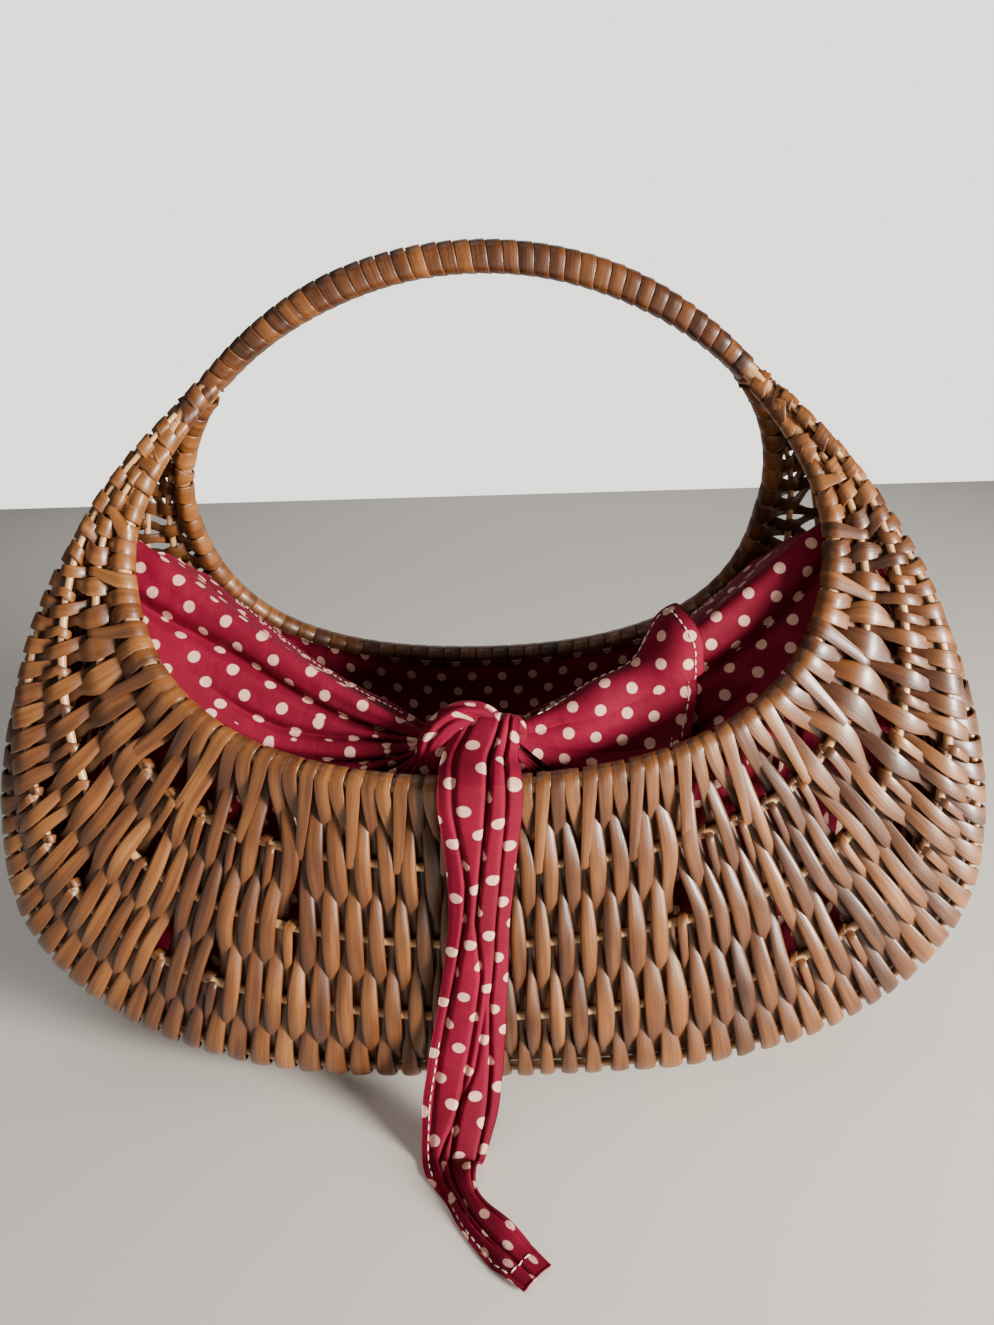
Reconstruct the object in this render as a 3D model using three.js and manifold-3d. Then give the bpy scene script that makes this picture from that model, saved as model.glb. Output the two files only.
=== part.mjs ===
import * as THREE from "three";
import Module from "manifold-3d";
import { mergeVertices } from "three/addons/utils/BufferGeometryUtils.js";

// A lined willow basket of the gondola kind. Two bent hoops lie side by side as the handle,
// part below the shoulders and run down and round as the front and back rim. Eleven thin
// ribs run from end to end under them, like the ribs of a boat. Flat split willow is woven
// in and out of the ribs and turned round each rim. A spotted cotton lining hangs inside,
// and its two closing panels are tied in a knot, with one tail hanging over the front rim.
//
// Millimetres. X runs to the right, Y to the back, Z up. The origin is on the table, under
// the middle of the base.

// Hoops
const handle_height = 347.6;
const pole_height = 0.88032 * handle_height;
const hoop_wide_height = 0.69333 * handle_height;
const rim_height = 0.43959 * handle_height;
const hoop_half_width = 142;
const shoulder_top_share = 0.634;
const shoulder_side_share = 0.297;
const hip_side_share = 0.642;
const hip_bottom_share = 0.678;
const hoop_rod_radius = 3.2;
const handle_rod_half_height = 4.9;
const handle_rod_half_width = 3.4;
const handle_rod_gap = 1;
const hoop_spread_share = 0.474;
const hoop_settings = {
  front: { side: -1, width_share: 1, shift: -1.6 },
  back: { side: 1, width_share: 0.94, shift: -3.7 },
};

// Ribs and the line of the keel, the middle rib
const rib_radius = 1.9;
const rib_end_radius = 0.9;
const rib_taper_share = 0.25;
const ribs_each_side = 5;
const keel_half_length = 207.5;
const keel_wide_height = 0.30092 * handle_height;
const base_half_length = 65.6;
const keel_shoulder_share = 0.453;
const keel_shoulder_drop_share = 0.158;
const keel_side_share = 0.631;
const keel_bottom_share = 0.535;
const belly_depth_share = 1.05;
const belly_width_share = 1.28;
const least_rib_spacing = 7;
const rib_steps = 30;
const step_crowding_share = 0.4;

// Weaving strands
const row_count = 77;
const strand_count = 19;
const strand_half_thickness = 0.6;
const strand_width_share = 0.75;
const widest_strand = 10;
const rim_band_share = 0.56;
const first_row_share = 0.092;
const lap_members = 3;
const weave_gap = 0.3;
const clearance_passes = 8;
const rim_turn_steps = 7;
const rim_turn_share = 1.3;
const short_turn_rib_number = 4;
const short_turn_steps = 3;
const short_turn_shares = [0.2, 0.43];
const foot_length = 4;

// Handle wrap, and the ears: the same strip wound round both hoops where they part
const wrap_turns = 24;
const wrap_thickness = 1.2;
const wrap_gap = 1.4;
const wrap_end_share = 0.55;
const wrap_flat_share = 0.66;
const wrap_steep_share = 0.5;
const handle_steps = 14;
const ear_laps = 5;
const ear_gap = 2.2;
const ear_corner_angle = Math.PI / 3;
const ear_first_share = 0.008;
const ear_last_share = 0.072;
const swell_share = 0.3;

// Cloth: the lining bag
const cloth_thickness = 1;
const cloth_gap = 0.4;
const lining_depth = 5.7;
const lining_first_share = 0.132;
const lining_edge_share = 0.2;
const lining_folds = 20;
const lining_fold_depth = 2.4;

// Cloth: the two panels that close the top, and the knot that ties them
const panel_low_share = 0.44;
const panel_high_share = 0.14;
const panel_back_share = 0.27;
const panel_rim_distance = 7.2;
const panel_folds = 6;
const panel_fold_steps = 4;
const panel_fold_depth = 2.2;
const panel_rows = 9;
const panel_sag = 9;
const gather_width = 16;
const knot_half_size = new THREE.Vector3(19, 12, 14);
const knot_loop_radius = 11;
const knot_loop_half_thickness = 3.5;
const knot_loop_rise = knot_half_size.z / 3;
const knot_loop_depth_scale = knot_half_size.y / knot_loop_half_thickness / 2;
const knot_facets = [14, 10];
const knot_loop_facets = [8, 16];
const knot_shift = -5;
const knot_setback = 20;
const knot_rise = 13;

// Cloth: the loose ends of the knot
const tail_width = 34;
const tail_knot_width = 20;
const tail_knot_thickness = 7;
const tail_end_width = 22;
const tail_end_thickness = 4;
const tail_steps = 28;
const tail_grown_share = 0.12;
const tail_lean = -16;
const tail_rim_gap = 0.8;
const tail_foot_flare = 7;
const tail_foot_share = 0.42;
const tail_run_out = 72;
const tail_floor_shares = [[0.22, 0], [0.36, 0.01], [0.6, 0.08], [0.8, 0.24], [1, 0.44]];
const tail_wall_distance = 9;
const tail_beside_ribs = [-5, -4, -3];
const short_tail_lift = 1;
const short_tail_columns = [17, 20];
const short_tail_rows = [1, 8];

const willow = new THREE.MeshStandardMaterial({ color: 0xa8703a, roughness: 0.42, metalness: 0 });
const rib_willow = new THREE.MeshStandardMaterial({ color: 0xb98a52, roughness: 0.5, metalness: 0 });
const cotton = new THREE.MeshStandardMaterial({ color: 0xa31c38, roughness: 0.85, metalness: 0 });

const { lerp, smoothstep } = THREE.MathUtils;
const up = new THREE.Vector3(0, 0, 1);
const right = new THREE.Vector3(1, 0, 0);
const back = new THREE.Vector3(0, 1, 0);
const rim_index = ribs_each_side + 1;
const basket = new THREE.Group();

// A chain of points that can be read at any share of its length.
class Track {
  constructor(points) {
    this.points = points;
    this.marks = [0];
    for (let i = 1; i < points.length; i += 1) {
      this.marks.push(this.marks[i - 1] + points[i].distanceTo(points[i - 1]));
    }
    this.length = this.marks.at(-1);
  }

  at(share) {
    const goal = Math.min(Math.max(share, 0), 1) * this.length;
    let i = 1;
    while (i < this.marks.length - 1 && this.marks[i] < goal) i += 1;
    const step = this.marks[i] - this.marks[i - 1];
    const part = step > 0 ? (goal - this.marks[i - 1]) / step : 0;
    return this.points[i - 1].clone().lerp(this.points[i], part);
  }
}

// The closed skin through a row of rings of equal point count, with flat ends or run round.
function loft(rings, closed = false) {
  const count = rings[0].length;
  const positions = rings.flat().flatMap((point) => point.toArray());
  const faces = [];
  const last = closed ? rings.length : rings.length - 1;
  for (let i = 0; i < last; i += 1) {
    const near = i * count;
    const far = ((i + 1) % rings.length) * count;
    for (let k = 0; k < count; k += 1) {
      const next = (k + 1) % count;
      faces.push([near + k, near + next, far + next], [near + k, far + next, far + k]);
    }
  }
  if (!closed) {
    const end = (rings.length - 1) * count;
    for (let k = 1; k < count - 1; k += 1) {
      faces.push([0, k + 1, k], [end, end + k, end + k + 1]);
    }
  }
  return skin(positions, faces);
}

// The closed skin of a sheet given as a grid of points, one grid for each face.
function sheet(front, rear) {
  const rows = front.length;
  const columns = front[0].length;
  const positions = [...front.flat(), ...rear.flat()].flatMap((point) => point.toArray());
  const offset = rows * columns;
  const at = (i, k) => i * columns + k;
  const faces = [];
  const quad = (a, b, c, d) => faces.push([a, b, c], [a, c, d]);
  for (let i = 0; i < rows - 1; i += 1) {
    for (let k = 0; k < columns - 1; k += 1) {
      quad(at(i, k), at(i, k + 1), at(i + 1, k + 1), at(i + 1, k));
      quad(offset + at(i, k), offset + at(i + 1, k), offset + at(i + 1, k + 1), offset + at(i, k + 1));
    }
  }
  for (let i = 0; i < rows - 1; i += 1) {
    quad(at(i, 0), at(i + 1, 0), offset + at(i + 1, 0), offset + at(i, 0));
    const k = columns - 1;
    quad(at(i + 1, k), at(i, k), offset + at(i, k), offset + at(i + 1, k));
  }
  for (let k = 0; k < columns - 1; k += 1) {
    quad(at(0, k + 1), at(0, k), offset + at(0, k), offset + at(0, k + 1));
    const i = rows - 1;
    quad(at(i, k), at(i, k + 1), offset + at(i, k + 1), offset + at(i, k));
  }
  return skin(positions, faces);
}

// A geometry from points and triangles, turned so that its faces point out.
function skin(positions, faces) {
  const corner = (i) => new THREE.Vector3().fromArray(positions, 3 * i);
  let volume = 0;
  for (const [a, b, c] of faces) {
    volume += corner(a).dot(corner(b).cross(corner(c)));
  }
  const turned = volume < 0 ? faces.map(([a, b, c]) => [a, c, b]) : faces;
  const geometry = new THREE.BufferGeometry();
  geometry.setAttribute("position", new THREE.Float32BufferAttribute(positions, 3));
  geometry.setIndex(turned.flat());
  geometry.computeVertexNormals();
  return geometry;
}

function add(name, geometry, material) {
  const mesh = new THREE.Mesh(geometry, material.clone());
  mesh.name = name;
  basket.add(mesh);
}

function samples(curve, from, to, count) {
  return Array.from({ length: count + 1 }, (_, i) => curve.getPoint(lerp(from, to, i / count)));
}

// Outline of a hoop and of the keel, seen from the front, as points (x, height)
const shoulder = new THREE.CubicBezierCurve(
  new THREE.Vector2(0, handle_height),
  new THREE.Vector2(shoulder_top_share * hoop_half_width, handle_height),
  new THREE.Vector2(hoop_half_width, lerp(hoop_wide_height, handle_height, shoulder_side_share)),
  new THREE.Vector2(hoop_half_width, hoop_wide_height),
);
const hip = new THREE.CubicBezierCurve(
  new THREE.Vector2(hoop_half_width, hoop_wide_height),
  new THREE.Vector2(hoop_half_width, lerp(hoop_wide_height, rim_height, hip_side_share)),
  new THREE.Vector2(hip_bottom_share * hoop_half_width, rim_height),
  new THREE.Vector2(0, rim_height),
);

// Share of the shoulder curve at which it passes the pole, where the two hoops part
function poleShare() {
  let low = 0;
  let high = 1;
  for (let i = 0; i < 40; i += 1) {
    const middle = (low + high) / 2;
    if (shoulder.getPoint(middle).y > pole_height) low = middle;
    else high = middle;
  }
  return low;
}

const curve_samples = 60;
const pole_share = poleShare();
const pole = shoulder.getPoint(pole_share);
const half_handle = samples(shoulder, pole_share, 0, curve_samples);
const half_rim = [
  ...samples(shoulder, pole_share, 1, curve_samples),
  ...samples(hip, 0, 1, curve_samples).slice(1),
];

// Height of the rib centres over the table where the weave stands on it
const strand_reach = rib_radius + strand_half_thickness + weave_gap;
const base_settle = 0.2;
const base_height = strand_reach + strand_half_thickness + base_settle;
const keel_shoulder = new THREE.CubicBezierCurve(
  pole.clone(),
  new THREE.Vector2(
    lerp(pole.x, keel_half_length, keel_shoulder_share),
    lerp(pole_height, keel_wide_height, keel_shoulder_drop_share),
  ),
  new THREE.Vector2(keel_half_length, lerp(keel_wide_height, pole_height, keel_shoulder_share)),
  new THREE.Vector2(keel_half_length, keel_wide_height),
);
const keel_corner = new THREE.CubicBezierCurve(
  new THREE.Vector2(keel_half_length, keel_wide_height),
  new THREE.Vector2(keel_half_length, lerp(keel_wide_height, base_height, keel_side_share)),
  new THREE.Vector2(lerp(base_half_length, keel_half_length, keel_bottom_share), base_height),
  new THREE.Vector2(base_half_length, base_height),
);
const half_keel = [
  ...samples(keel_shoulder, 0, 1, curve_samples),
  ...samples(keel_corner, 0, 1, curve_samples).slice(1),
  new THREE.Vector2(0, base_height),
];

// Left half, mirrored, then right half, as one chain from the left pole to the right pole
function wholeTrack(half) {
  const left = half.map((point) => new THREE.Vector2(-point.x, point.y));
  return new Track([...left, ...half.slice(0, -1).reverse()]);
}

const rim_outline = wholeTrack(half_rim);
const keel_outline = wholeTrack(half_keel);
const handle_outline = wholeTrack(half_handle);
const handle_half_gap = handle_rod_half_width + handle_rod_gap / 2;

// The place in space of a point of a hoop's outline. Below the poles the hoops lean apart,
// and each has its own width and shift, as in a basket made by hand.
function hoopPoint(side, point) {
  const setting = side < 0 ? hoop_settings.front : hoop_settings.back;
  const drop = pole_height - point.y;
  const settled = smoothstep(drop, 0, (pole_height - rim_height) / 2);
  const x = point.x * lerp(1, setting.width_share, settled) + setting.shift * settled;
  const y = handle_half_gap + hoop_spread_share * Math.max(drop, 0);
  return new THREE.Vector3(x, side * y, point.y);
}

// Where rows meet the rim and the keel, as shares of the half lengths from a pole to the
// bottom, at even steps. Rows fan out at the lower corners and run straight down between.
const rim_row_shares = [0, 0.19, 0.37, 0.52, 0.625, 0.755, 1];
const keel_row_shares = [0, 0.085, 0.25, 0.47, 0.66, 0.845, 1];
const half_spread = rim_row_shares.map((share, i) => new THREE.Vector2(share / 2, keel_row_shares[i] / 2));
const other_half = half_spread.slice(0, -1).reverse()
  .map((point) => new THREE.Vector2(1 - point.x, 1 - point.y));
const row_spread = new THREE.SplineCurve([...half_spread, ...other_half]);

// Section of the wall at a share of the way, from the hoop on one side down to the keel
function sectionTrack(side, share) {
  const spread = row_spread.getPoint(share);
  const hoop = hoopPoint(side, rim_outline.at(spread.x));
  const keel = keel_outline.at(spread.y);
  const reach = new THREE.Vector3(keel.x - hoop.x, 0, keel.y - hoop.z);
  const place = (out, down) => new THREE.Vector3(
    hoop.x + reach.x * down,
    hoop.y * out,
    hoop.z + reach.z * down,
  );
  const curve = new THREE.CubicBezierCurve3(
    place(1, 0),
    place(1, belly_depth_share),
    place(belly_width_share, 1),
    place(0, 1),
  );
  return new Track(samples(curve, 0, 1, curve_samples));
}

// Centres of hoops and ribs at every step of the way: index -6 is the front hoop, 0 is the
// keel, 6 is the back hoop
const node_shares = Array.from({ length: rib_steps + 1 }, (_, step) => {
  const even_share = step / rib_steps;
  return lerp(even_share, (1 - Math.cos(Math.PI * even_share)) / 2, step_crowding_share);
});
const wall = new Map();
for (let index = -rim_index; index <= rim_index; index += 1) wall.set(index, []);
for (const share of node_shares) {
  const front_section = sectionTrack(-1, share);
  const back_section = sectionTrack(1, share);
  for (let index = -rim_index; index <= rim_index; index += 1) {
    const section = index <= 0 ? front_section : back_section;
    wall.get(index).push(section.at(1 - Math.abs(index) / rim_index));
  }
}

// A hoop or rib at a share of the way: its centre and its direction there
function member(index, share) {
  const after = Math.max(node_shares.findIndex((node_share) => node_share > share), 0) || rib_steps;
  const from = wall.get(index)[after - 1];
  const to = wall.get(index)[after];
  const part = (share - node_shares[after - 1]) / (node_shares[after] - node_shares[after - 1]);
  return {
    index,
    centre: from.clone().lerp(to, part),
    along: to.clone().sub(from).normalize(),
  };
}

// Outward direction of the wall at a member, from its neighbours on both sides
function outward(before, here, after) {
  const across = after.centre.clone().sub(before.centre);
  return across.cross(here.along).normalize();
}

// Shares of the way for each row of weaving
const row_step = (1 - 2 * first_row_share) / (row_count - 1);
const rowShare = (row) => first_row_share + row * row_step;

// Ribs thin out towards their ends, where they lie close together
function ribRadius(share) {
  return lerp(rib_end_radius, rib_radius, smoothstep(Math.min(share, 1 - share), 0, rib_taper_share));
}

// Near the poles there is room for the keel only, then for every second rib, then for all.
// A rib starts half a row before the first row that it has room for.
function hasRoom(share, stride) {
  return [share, 1 - share].every((place) => {
    for (let index = -rim_index; index < rim_index; index += stride) {
      const here = member(index, place);
      const reach = member(index + stride, place).centre.sub(here.centre);
      if (reach.projectOnPlane(here.along).length() < least_rib_spacing) return false;
    }
    return true;
  });
}

function startShare(stride) {
  const rows = Array.from({ length: row_count }, (_, row) => row);
  return rowShare(rows.find((row) => hasRoom(rowShare(row), stride))) - row_step / 2;
}

const keel_share = startShare(rim_index);
const long_rib_share = startShare(2);
const short_rib_share = startShare(1);
function ribShare(index) {
  if (index === 0) return keel_share;
  return index % 2 === 0 ? long_rib_share : short_rib_share;
}

function membersAt(share) {
  const all = [];
  for (let index = -rim_index; index <= rim_index; index += 1) {
    const hoop = Math.abs(index) === rim_index;
    const start = hoop ? 0 : ribShare(index);
    if (share > start && share < 1 - start) all.push(member(index, share));
  }
  return all;
}

// Distance from a member's axis to a straight stretch of strand beside it
function clearance(axis, from, to) {
  const flat = (point) => point.clone().sub(axis.centre).projectOnPlane(axis.along);
  const nearest = new THREE.Line3(flat(from), flat(to));
  return nearest.closestPointToPoint(new THREE.Vector3(), true, new THREE.Vector3()).length();
}

// How far a member bends towards a flat band that crosses it, within the band's width
function bendTowards(here, share, direction, half = (row_step * strand_width_share) / 2) {
  const bends = [share - half, share + half]
    .map((place) => member(here.index, place).centre.sub(here.centre).dot(direction));
  return Math.max(0, ...bends);
}

const rim_reach = hoop_rod_radius + strand_half_thickness + weave_gap;
const ribReach = (share) => ribRadius(share) + strand_half_thickness + weave_gap;

// Where a strand turns back, after a row, on one side: at the rim, or for every second turn
// in a lower corner at a rib short of it, so that the rows there don't crowd the rim
function turnIndex(side, row) {
  const mirrored = Math.min(rowShare(row + 0.5), 1 - rowShare(row + 0.5));
  const corner = mirrored > short_turn_shares[0] && mirrored < short_turn_shares[1];
  const every_second = Math.floor(row / 2) % 2 === (side < 0 ? 1 : 0);
  return side * (corner && every_second ? short_turn_rib_number : rim_index);
}

// Whether a turn goes once more round the rim than it must. Rows next to a pole, which have
// the keel alone between the rims, turn back at once.
function hasExtraLap(side, row) {
  const near_pole = [row, row + 1].some((place) => membersAt(rowShare(place)).length < lap_members);
  return Math.abs(turnIndex(side, row)) === rim_index && !near_pole;
}

// Rows to which a full turn has the rim to itself
function turnSpan(side, row) {
  const short = [row - 2, row + 2].filter((other) => Math.abs(turnIndex(side, other)) !== rim_index);
  return 2 + short.length;
}

// Shares of the way at which a turn starts and ends. A full turn goes once more round the
// rim than it must, so it takes more than the step to the next row.
function turnShares(side, row) {
  if (!hasExtraLap(side, row)) return [rowShare(row), rowShare(row + 1)];
  const span = turnSpan(side, row);
  const spare = ((span - 2) / 4) * row_step;
  const advance = (rim_turn_share * span * row_step) / 2;
  if (side < 0) return [rowShare(row) - spare, rowShare(row) - spare + advance];
  return [rowShare(row + 1) + spare - advance, rowShare(row + 1) + spare];
}

// One row of weaving as rings, from its front turn to its back turn. Even rows lie outside
// both rims and the keel, odd rows inside them. Each crossing is moved out until the
// straight stretches beside it clear the rib.
function rowRings(row) {
  const share = rowShare(row);
  const even = row % 2 === 0;
  const front_turn = even ? row : row - 1;
  const back_turn = even ? row - 1 : row;
  const ends = [turnIndex(-1, front_turn), turnIndex(1, back_turn)];
  const end_shares = [
    turnShares(-1, front_turn)[even ? 0 : 1],
    turnShares(1, back_turn)[even ? 1 : 0],
  ];
  const members = membersAt(share)
    .map((here, order) => ({ ...here, share, outside: (order % 2 === 0) === even }))
    .filter((here) => here.index >= ends[0] && here.index <= ends[1])
    .map((here) => {
      const place = end_shares[ends.indexOf(here.index)] ?? share;
      return { ...here, ...member(here.index, place), share: place };
    });
  const crossings = members.map((here, i) => {
    const before = members[Math.max(i - 1, 0)];
    const after = members[Math.min(i + 1, members.length - 1)];
    const normal = outward(before, here, after);
    const hoop = Math.abs(here.index) === rim_index;
    const bend = bendTowards(here, here.share, normal.clone().multiplyScalar(here.outside ? 1 : -1));
    const reach = bend + (hoop ? rim_reach : ribReach(share));
    return { here, normal, hoop, reach, offset: reach };
  });
  const placeOf = ({ here, normal, offset }) => here.centre.clone()
    .addScaledVector(normal, here.outside ? offset : -offset);
  for (let pass = 0; pass < clearance_passes; pass += 1) {
    const places = crossings.map(placeOf);
    crossings.forEach((crossing, i) => {
      const gaps = [];
      if (i > 0) gaps.push(clearance(crossing.here, places[i - 1], places[i]));
      if (i < places.length - 1) gaps.push(clearance(crossing.here, places[i], places[i + 1]));
      crossing.offset += Math.max(crossing.reach - Math.min(...gaps), 0);
    });
  }
  return crossings.flatMap((crossing) => {
    const { here, normal, hoop } = crossing;
    const side = Math.sign(here.index);
    const width = hoop
      ? rimBandWidth(side, side < 0 ? front_turn : back_turn, here.share)
      : strandWidth(here.index, share);
    const ridge = normal.clone().multiplyScalar(even ? -1 : 1);
    const ring = { at: placeOf(crossing), across: here.along, ridge, width };
    const on_table = Math.abs(here.index) <= 1 && here.centre.z < base_height + base_settle / 2;
    return here.outside && on_table ? footRings(ring, even) : [ring];
  });
}

// A crossing that the basket stands on: a short stretch that is flat on the table
function footRings(ring, even) {
  const ridge = up.clone().multiplyScalar(even ? 1 : -1);
  const across = ring.across.clone().projectOnPlane(up).normalize();
  const forward = new THREE.Vector3().crossVectors(up, across);
  if (forward.y < 0) forward.negate();
  return [-0.5, 0.5].map((part) => {
    const at = ring.at.clone().addScaledVector(forward, part * foot_length);
    at.z = strand_half_thickness;
    return { at, across, ridge, width: ring.width };
  });
}

// Distance along a member from one row to the next
function rowDistance(index, share) {
  const near = member(index, share - row_step / 2).centre;
  return near.distanceTo(member(index, share + row_step / 2).centre);
}

const strandWidth = (index, share) => (
  Math.min(strand_width_share * rowDistance(index, share), widest_strand)
);
const rimBandWidth = (side, row, share) => (
  (rim_band_share * turnSpan(side, row) * rowDistance(side * rim_index, share)) / 2
);

// The turn of a strand after a row, in rings at even angles. At the front it leaves from
// outside, goes over the rim, once more round it and away inside. At the back it goes the
// other way. A turn at a rib only goes over it.
function turnRings(side, row) {
  const index = turnIndex(side, row);
  const hoop = Math.abs(index) === rim_index;
  const full = hasExtraLap(side, row);
  const steps = full ? rim_turn_steps : short_turn_steps;
  const step_angle = ((full ? 3 : 1) * Math.PI) / steps;
  const [start, end] = turnShares(side, row);
  const rings = [];
  for (let step = 1; step < steps; step += 1) {
    const angle = side < 0 ? step * step_angle : Math.PI - step * step_angle;
    const share = lerp(start, end, step / steps);
    const here = member(index, share);
    const inner = member(index - side, share);
    const away = here.centre.clone().sub(inner.centre).projectOnPlane(here.along).normalize();
    const normal = new THREE.Vector3().crossVectors(here.along, away).multiplyScalar(-side);
    const radial = normal.multiplyScalar(Math.cos(angle)).addScaledVector(away, Math.sin(angle));
    const reach = (hoop ? rim_reach : ribReach(share)) / Math.cos(step_angle / 2);
    rings.push({
      at: here.centre.clone().addScaledVector(radial, reach + bendTowards(here, share, radial)),
      across: here.along,
      ridge: radial.clone().negate(),
      width: hoop ? rimBandWidth(side, row, share) : strandWidth(index, share),
    });
  }
  return rings;
}

// A strand is one unbroken length of willow: it goes to and fro over a few rows and turns
// round the rims. Its section is a low triangle, flat on one face and ridged on the other.
function strandGeometry(first, last) {
  const start_rings = 3;
  const end_rings = 2;
  const path = [];
  const sideBefore = (row) => (row % 2 === 0 ? 1 : -1);
  if (first > 0) path.push(...turnRings(sideBefore(first), first - 1).slice(-start_rings));
  for (let row = first; row <= last; row += 1) {
    const rings = rowRings(row);
    path.push(...(row % 2 === 0 ? rings.reverse() : rings));
    const turn = row < row_count - 1 ? turnRings(-sideBefore(row), row) : [];
    path.push(...(row === last ? turn.slice(0, end_rings) : turn));
  }
  const rings = path.map(({ at, across, ridge, width }) => [
    at.clone().addScaledVector(across, -width / 2).addScaledVector(ridge, -strand_half_thickness),
    at.clone().addScaledVector(across, width / 2).addScaledVector(ridge, -strand_half_thickness),
    at.clone().addScaledVector(ridge, strand_half_thickness),
  ]);
  return loft(rings);
}

// A ring of points round a rod, in the plane square to the rod's direction
function rodRing(centre, along, half_height, half_width, sides) {
  const level = back.clone().projectOnPlane(along).normalize();
  const rise = new THREE.Vector3().crossVectors(along, level);
  return Array.from({ length: sides }, (_, i) => {
    const angle = (2 * Math.PI * i) / sides;
    return centre.clone()
      .addScaledVector(rise, half_height * Math.cos(angle))
      .addScaledVector(level, half_width * Math.sin(angle));
  });
}

function directionAt(points, i, closed) {
  const count = points.length;
  const before = closed ? points[(i + count - 1) % count] : points[Math.max(i - 1, 0)];
  const after = closed ? points[(i + 1) % count] : points[Math.min(i + 1, count - 1)];
  return after.clone().sub(before).normalize();
}

// Half height of a hoop rod on the handle, at a share of the way from pole to pole
function rodHalfHeight(share) {
  const swell = smoothstep(Math.min(share, 1 - share), 0, swell_share);
  return lerp(hoop_rod_radius, handle_rod_half_height, swell);
}

function hoopGeometry(side) {
  const sides = 6;
  const rim = wall.get(side * rim_index);
  const handle = [];
  for (let step = 1; step < handle_steps; step += 1) {
    const share = 1 - step / handle_steps;
    handle.push({ centre: hoopPoint(side, handle_outline.at(share)), share });
  }
  const nodes = [...rim.map((centre) => ({ centre, share: 0 })), ...handle];
  const centres = nodes.map((node) => node.centre);
  const rings = nodes.map(({ centre, share }, i) => {
    const along = directionAt(centres, i, true);
    const half_width = share > 0 ? handle_rod_half_width : hoop_rod_radius;
    return rodRing(centre, along, rodHalfHeight(share), half_width, sides);
  });
  return loft(rings, true);
}

function ribGeometry(index) {
  const sides = 5;
  const start = ribShare(index);
  const inner = node_shares.filter((share) => share > start && share < 1 - start);
  const shares = [start, ...inner, 1 - start];
  const centres = shares.map((share) => member(index, share).centre);
  const rings = centres.map((centre, i) => {
    const radius = ribRadius(shares[i]);
    return rodRing(centre, directionAt(centres, i, false), radius, radius, sides);
  });
  return loft(rings);
}

// Four corners of a flat strip
function stripRing(at, across, face, width) {
  const corners = [[-1, -1], [1, -1], [1, 1], [-1, 1]];
  return corners.map(([aside, out]) => at.clone()
    .addScaledVector(across, (aside * width) / 2)
    .addScaledVector(face, (out * wrap_thickness) / 2));
}

// Least gap from a lap of a wound strip to the next, measured on points of its edges
function leastLapGap(rings, lap_rings) {
  const edges = rings.map((ring, i) => {
    const after = rings[Math.min(i + 1, rings.length - 1)];
    return ring.flatMap((point, k) => [point, point.clone().lerp(after[k], 0.5)]);
  });
  let least = Infinity;
  for (let i = 0; i < rings.length; i += 1) {
    for (let j = i + lap_rings - 1; j < Math.min(i + lap_rings + 2, rings.length); j += 1) {
      for (const near of edges[i]) {
        for (const far of edges[j]) least = Math.min(least, near.distanceTo(far));
      }
    }
  }
  return least;
}

function windingGeometry(name, rings, lap_rings) {
  console.log(`${name}: least gap to itself ${leastLapGap(rings, lap_rings).toFixed(2)} mm`);
  return loft(rings);
}

// The wrap of the handle: one flat strip wound round both hoop rods from pole to pole, over
// an eight-sided outline that clears the two rods
function handleWrapGeometry() {
  const quarter = [[wrap_flat_share, 1], [1, wrap_steep_share]];
  const outline = [
    ...quarter,
    ...quarter.map(([out, high]) => [out, -high]).reverse(),
    ...quarter.map(([out, high]) => [-out, -high]),
    ...quarter.map(([out, high]) => [-out, high]).reverse(),
  ];
  const total = wrap_turns * outline.length;
  const margin_share = wrap_end_share / wrap_turns;
  const width = (handle_outline.length * (1 - 2 * margin_share)) / wrap_turns - wrap_gap;
  const clear = weave_gap + wrap_thickness / 2;
  const half_width = handle_half_gap + handle_rod_half_width + clear;
  const nodes = Array.from({ length: handle_steps + 1 }, (_, i) => {
    const point = handle_outline.at(i / handle_steps);
    return new THREE.Vector3(point.x, 0, point.y);
  });
  const rings = [];
  for (let i = 0; i <= total; i += 1) {
    const share = lerp(margin_share, 1 - margin_share, i / total);
    const place = share * handle_steps;
    const step = Math.min(Math.floor(place), handle_steps - 1);
    const centre = nodes[step].clone().lerp(nodes[step + 1], place - step);
    const along = nodes[step + 1].clone().sub(nodes[step]).normalize();
    const rise = new THREE.Vector3().crossVectors(along, back);
    const [out, high] = outline[i % outline.length];
    const offset = back.clone().multiplyScalar(out * half_width)
      .addScaledVector(rise, high * (rodHalfHeight(share) + clear));
    rings.push(stripRing(centre.add(offset), along, offset.clone().normalize(), width));
  }
  return windingGeometry("handle_wrap", rings, outline.length);
}

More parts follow.
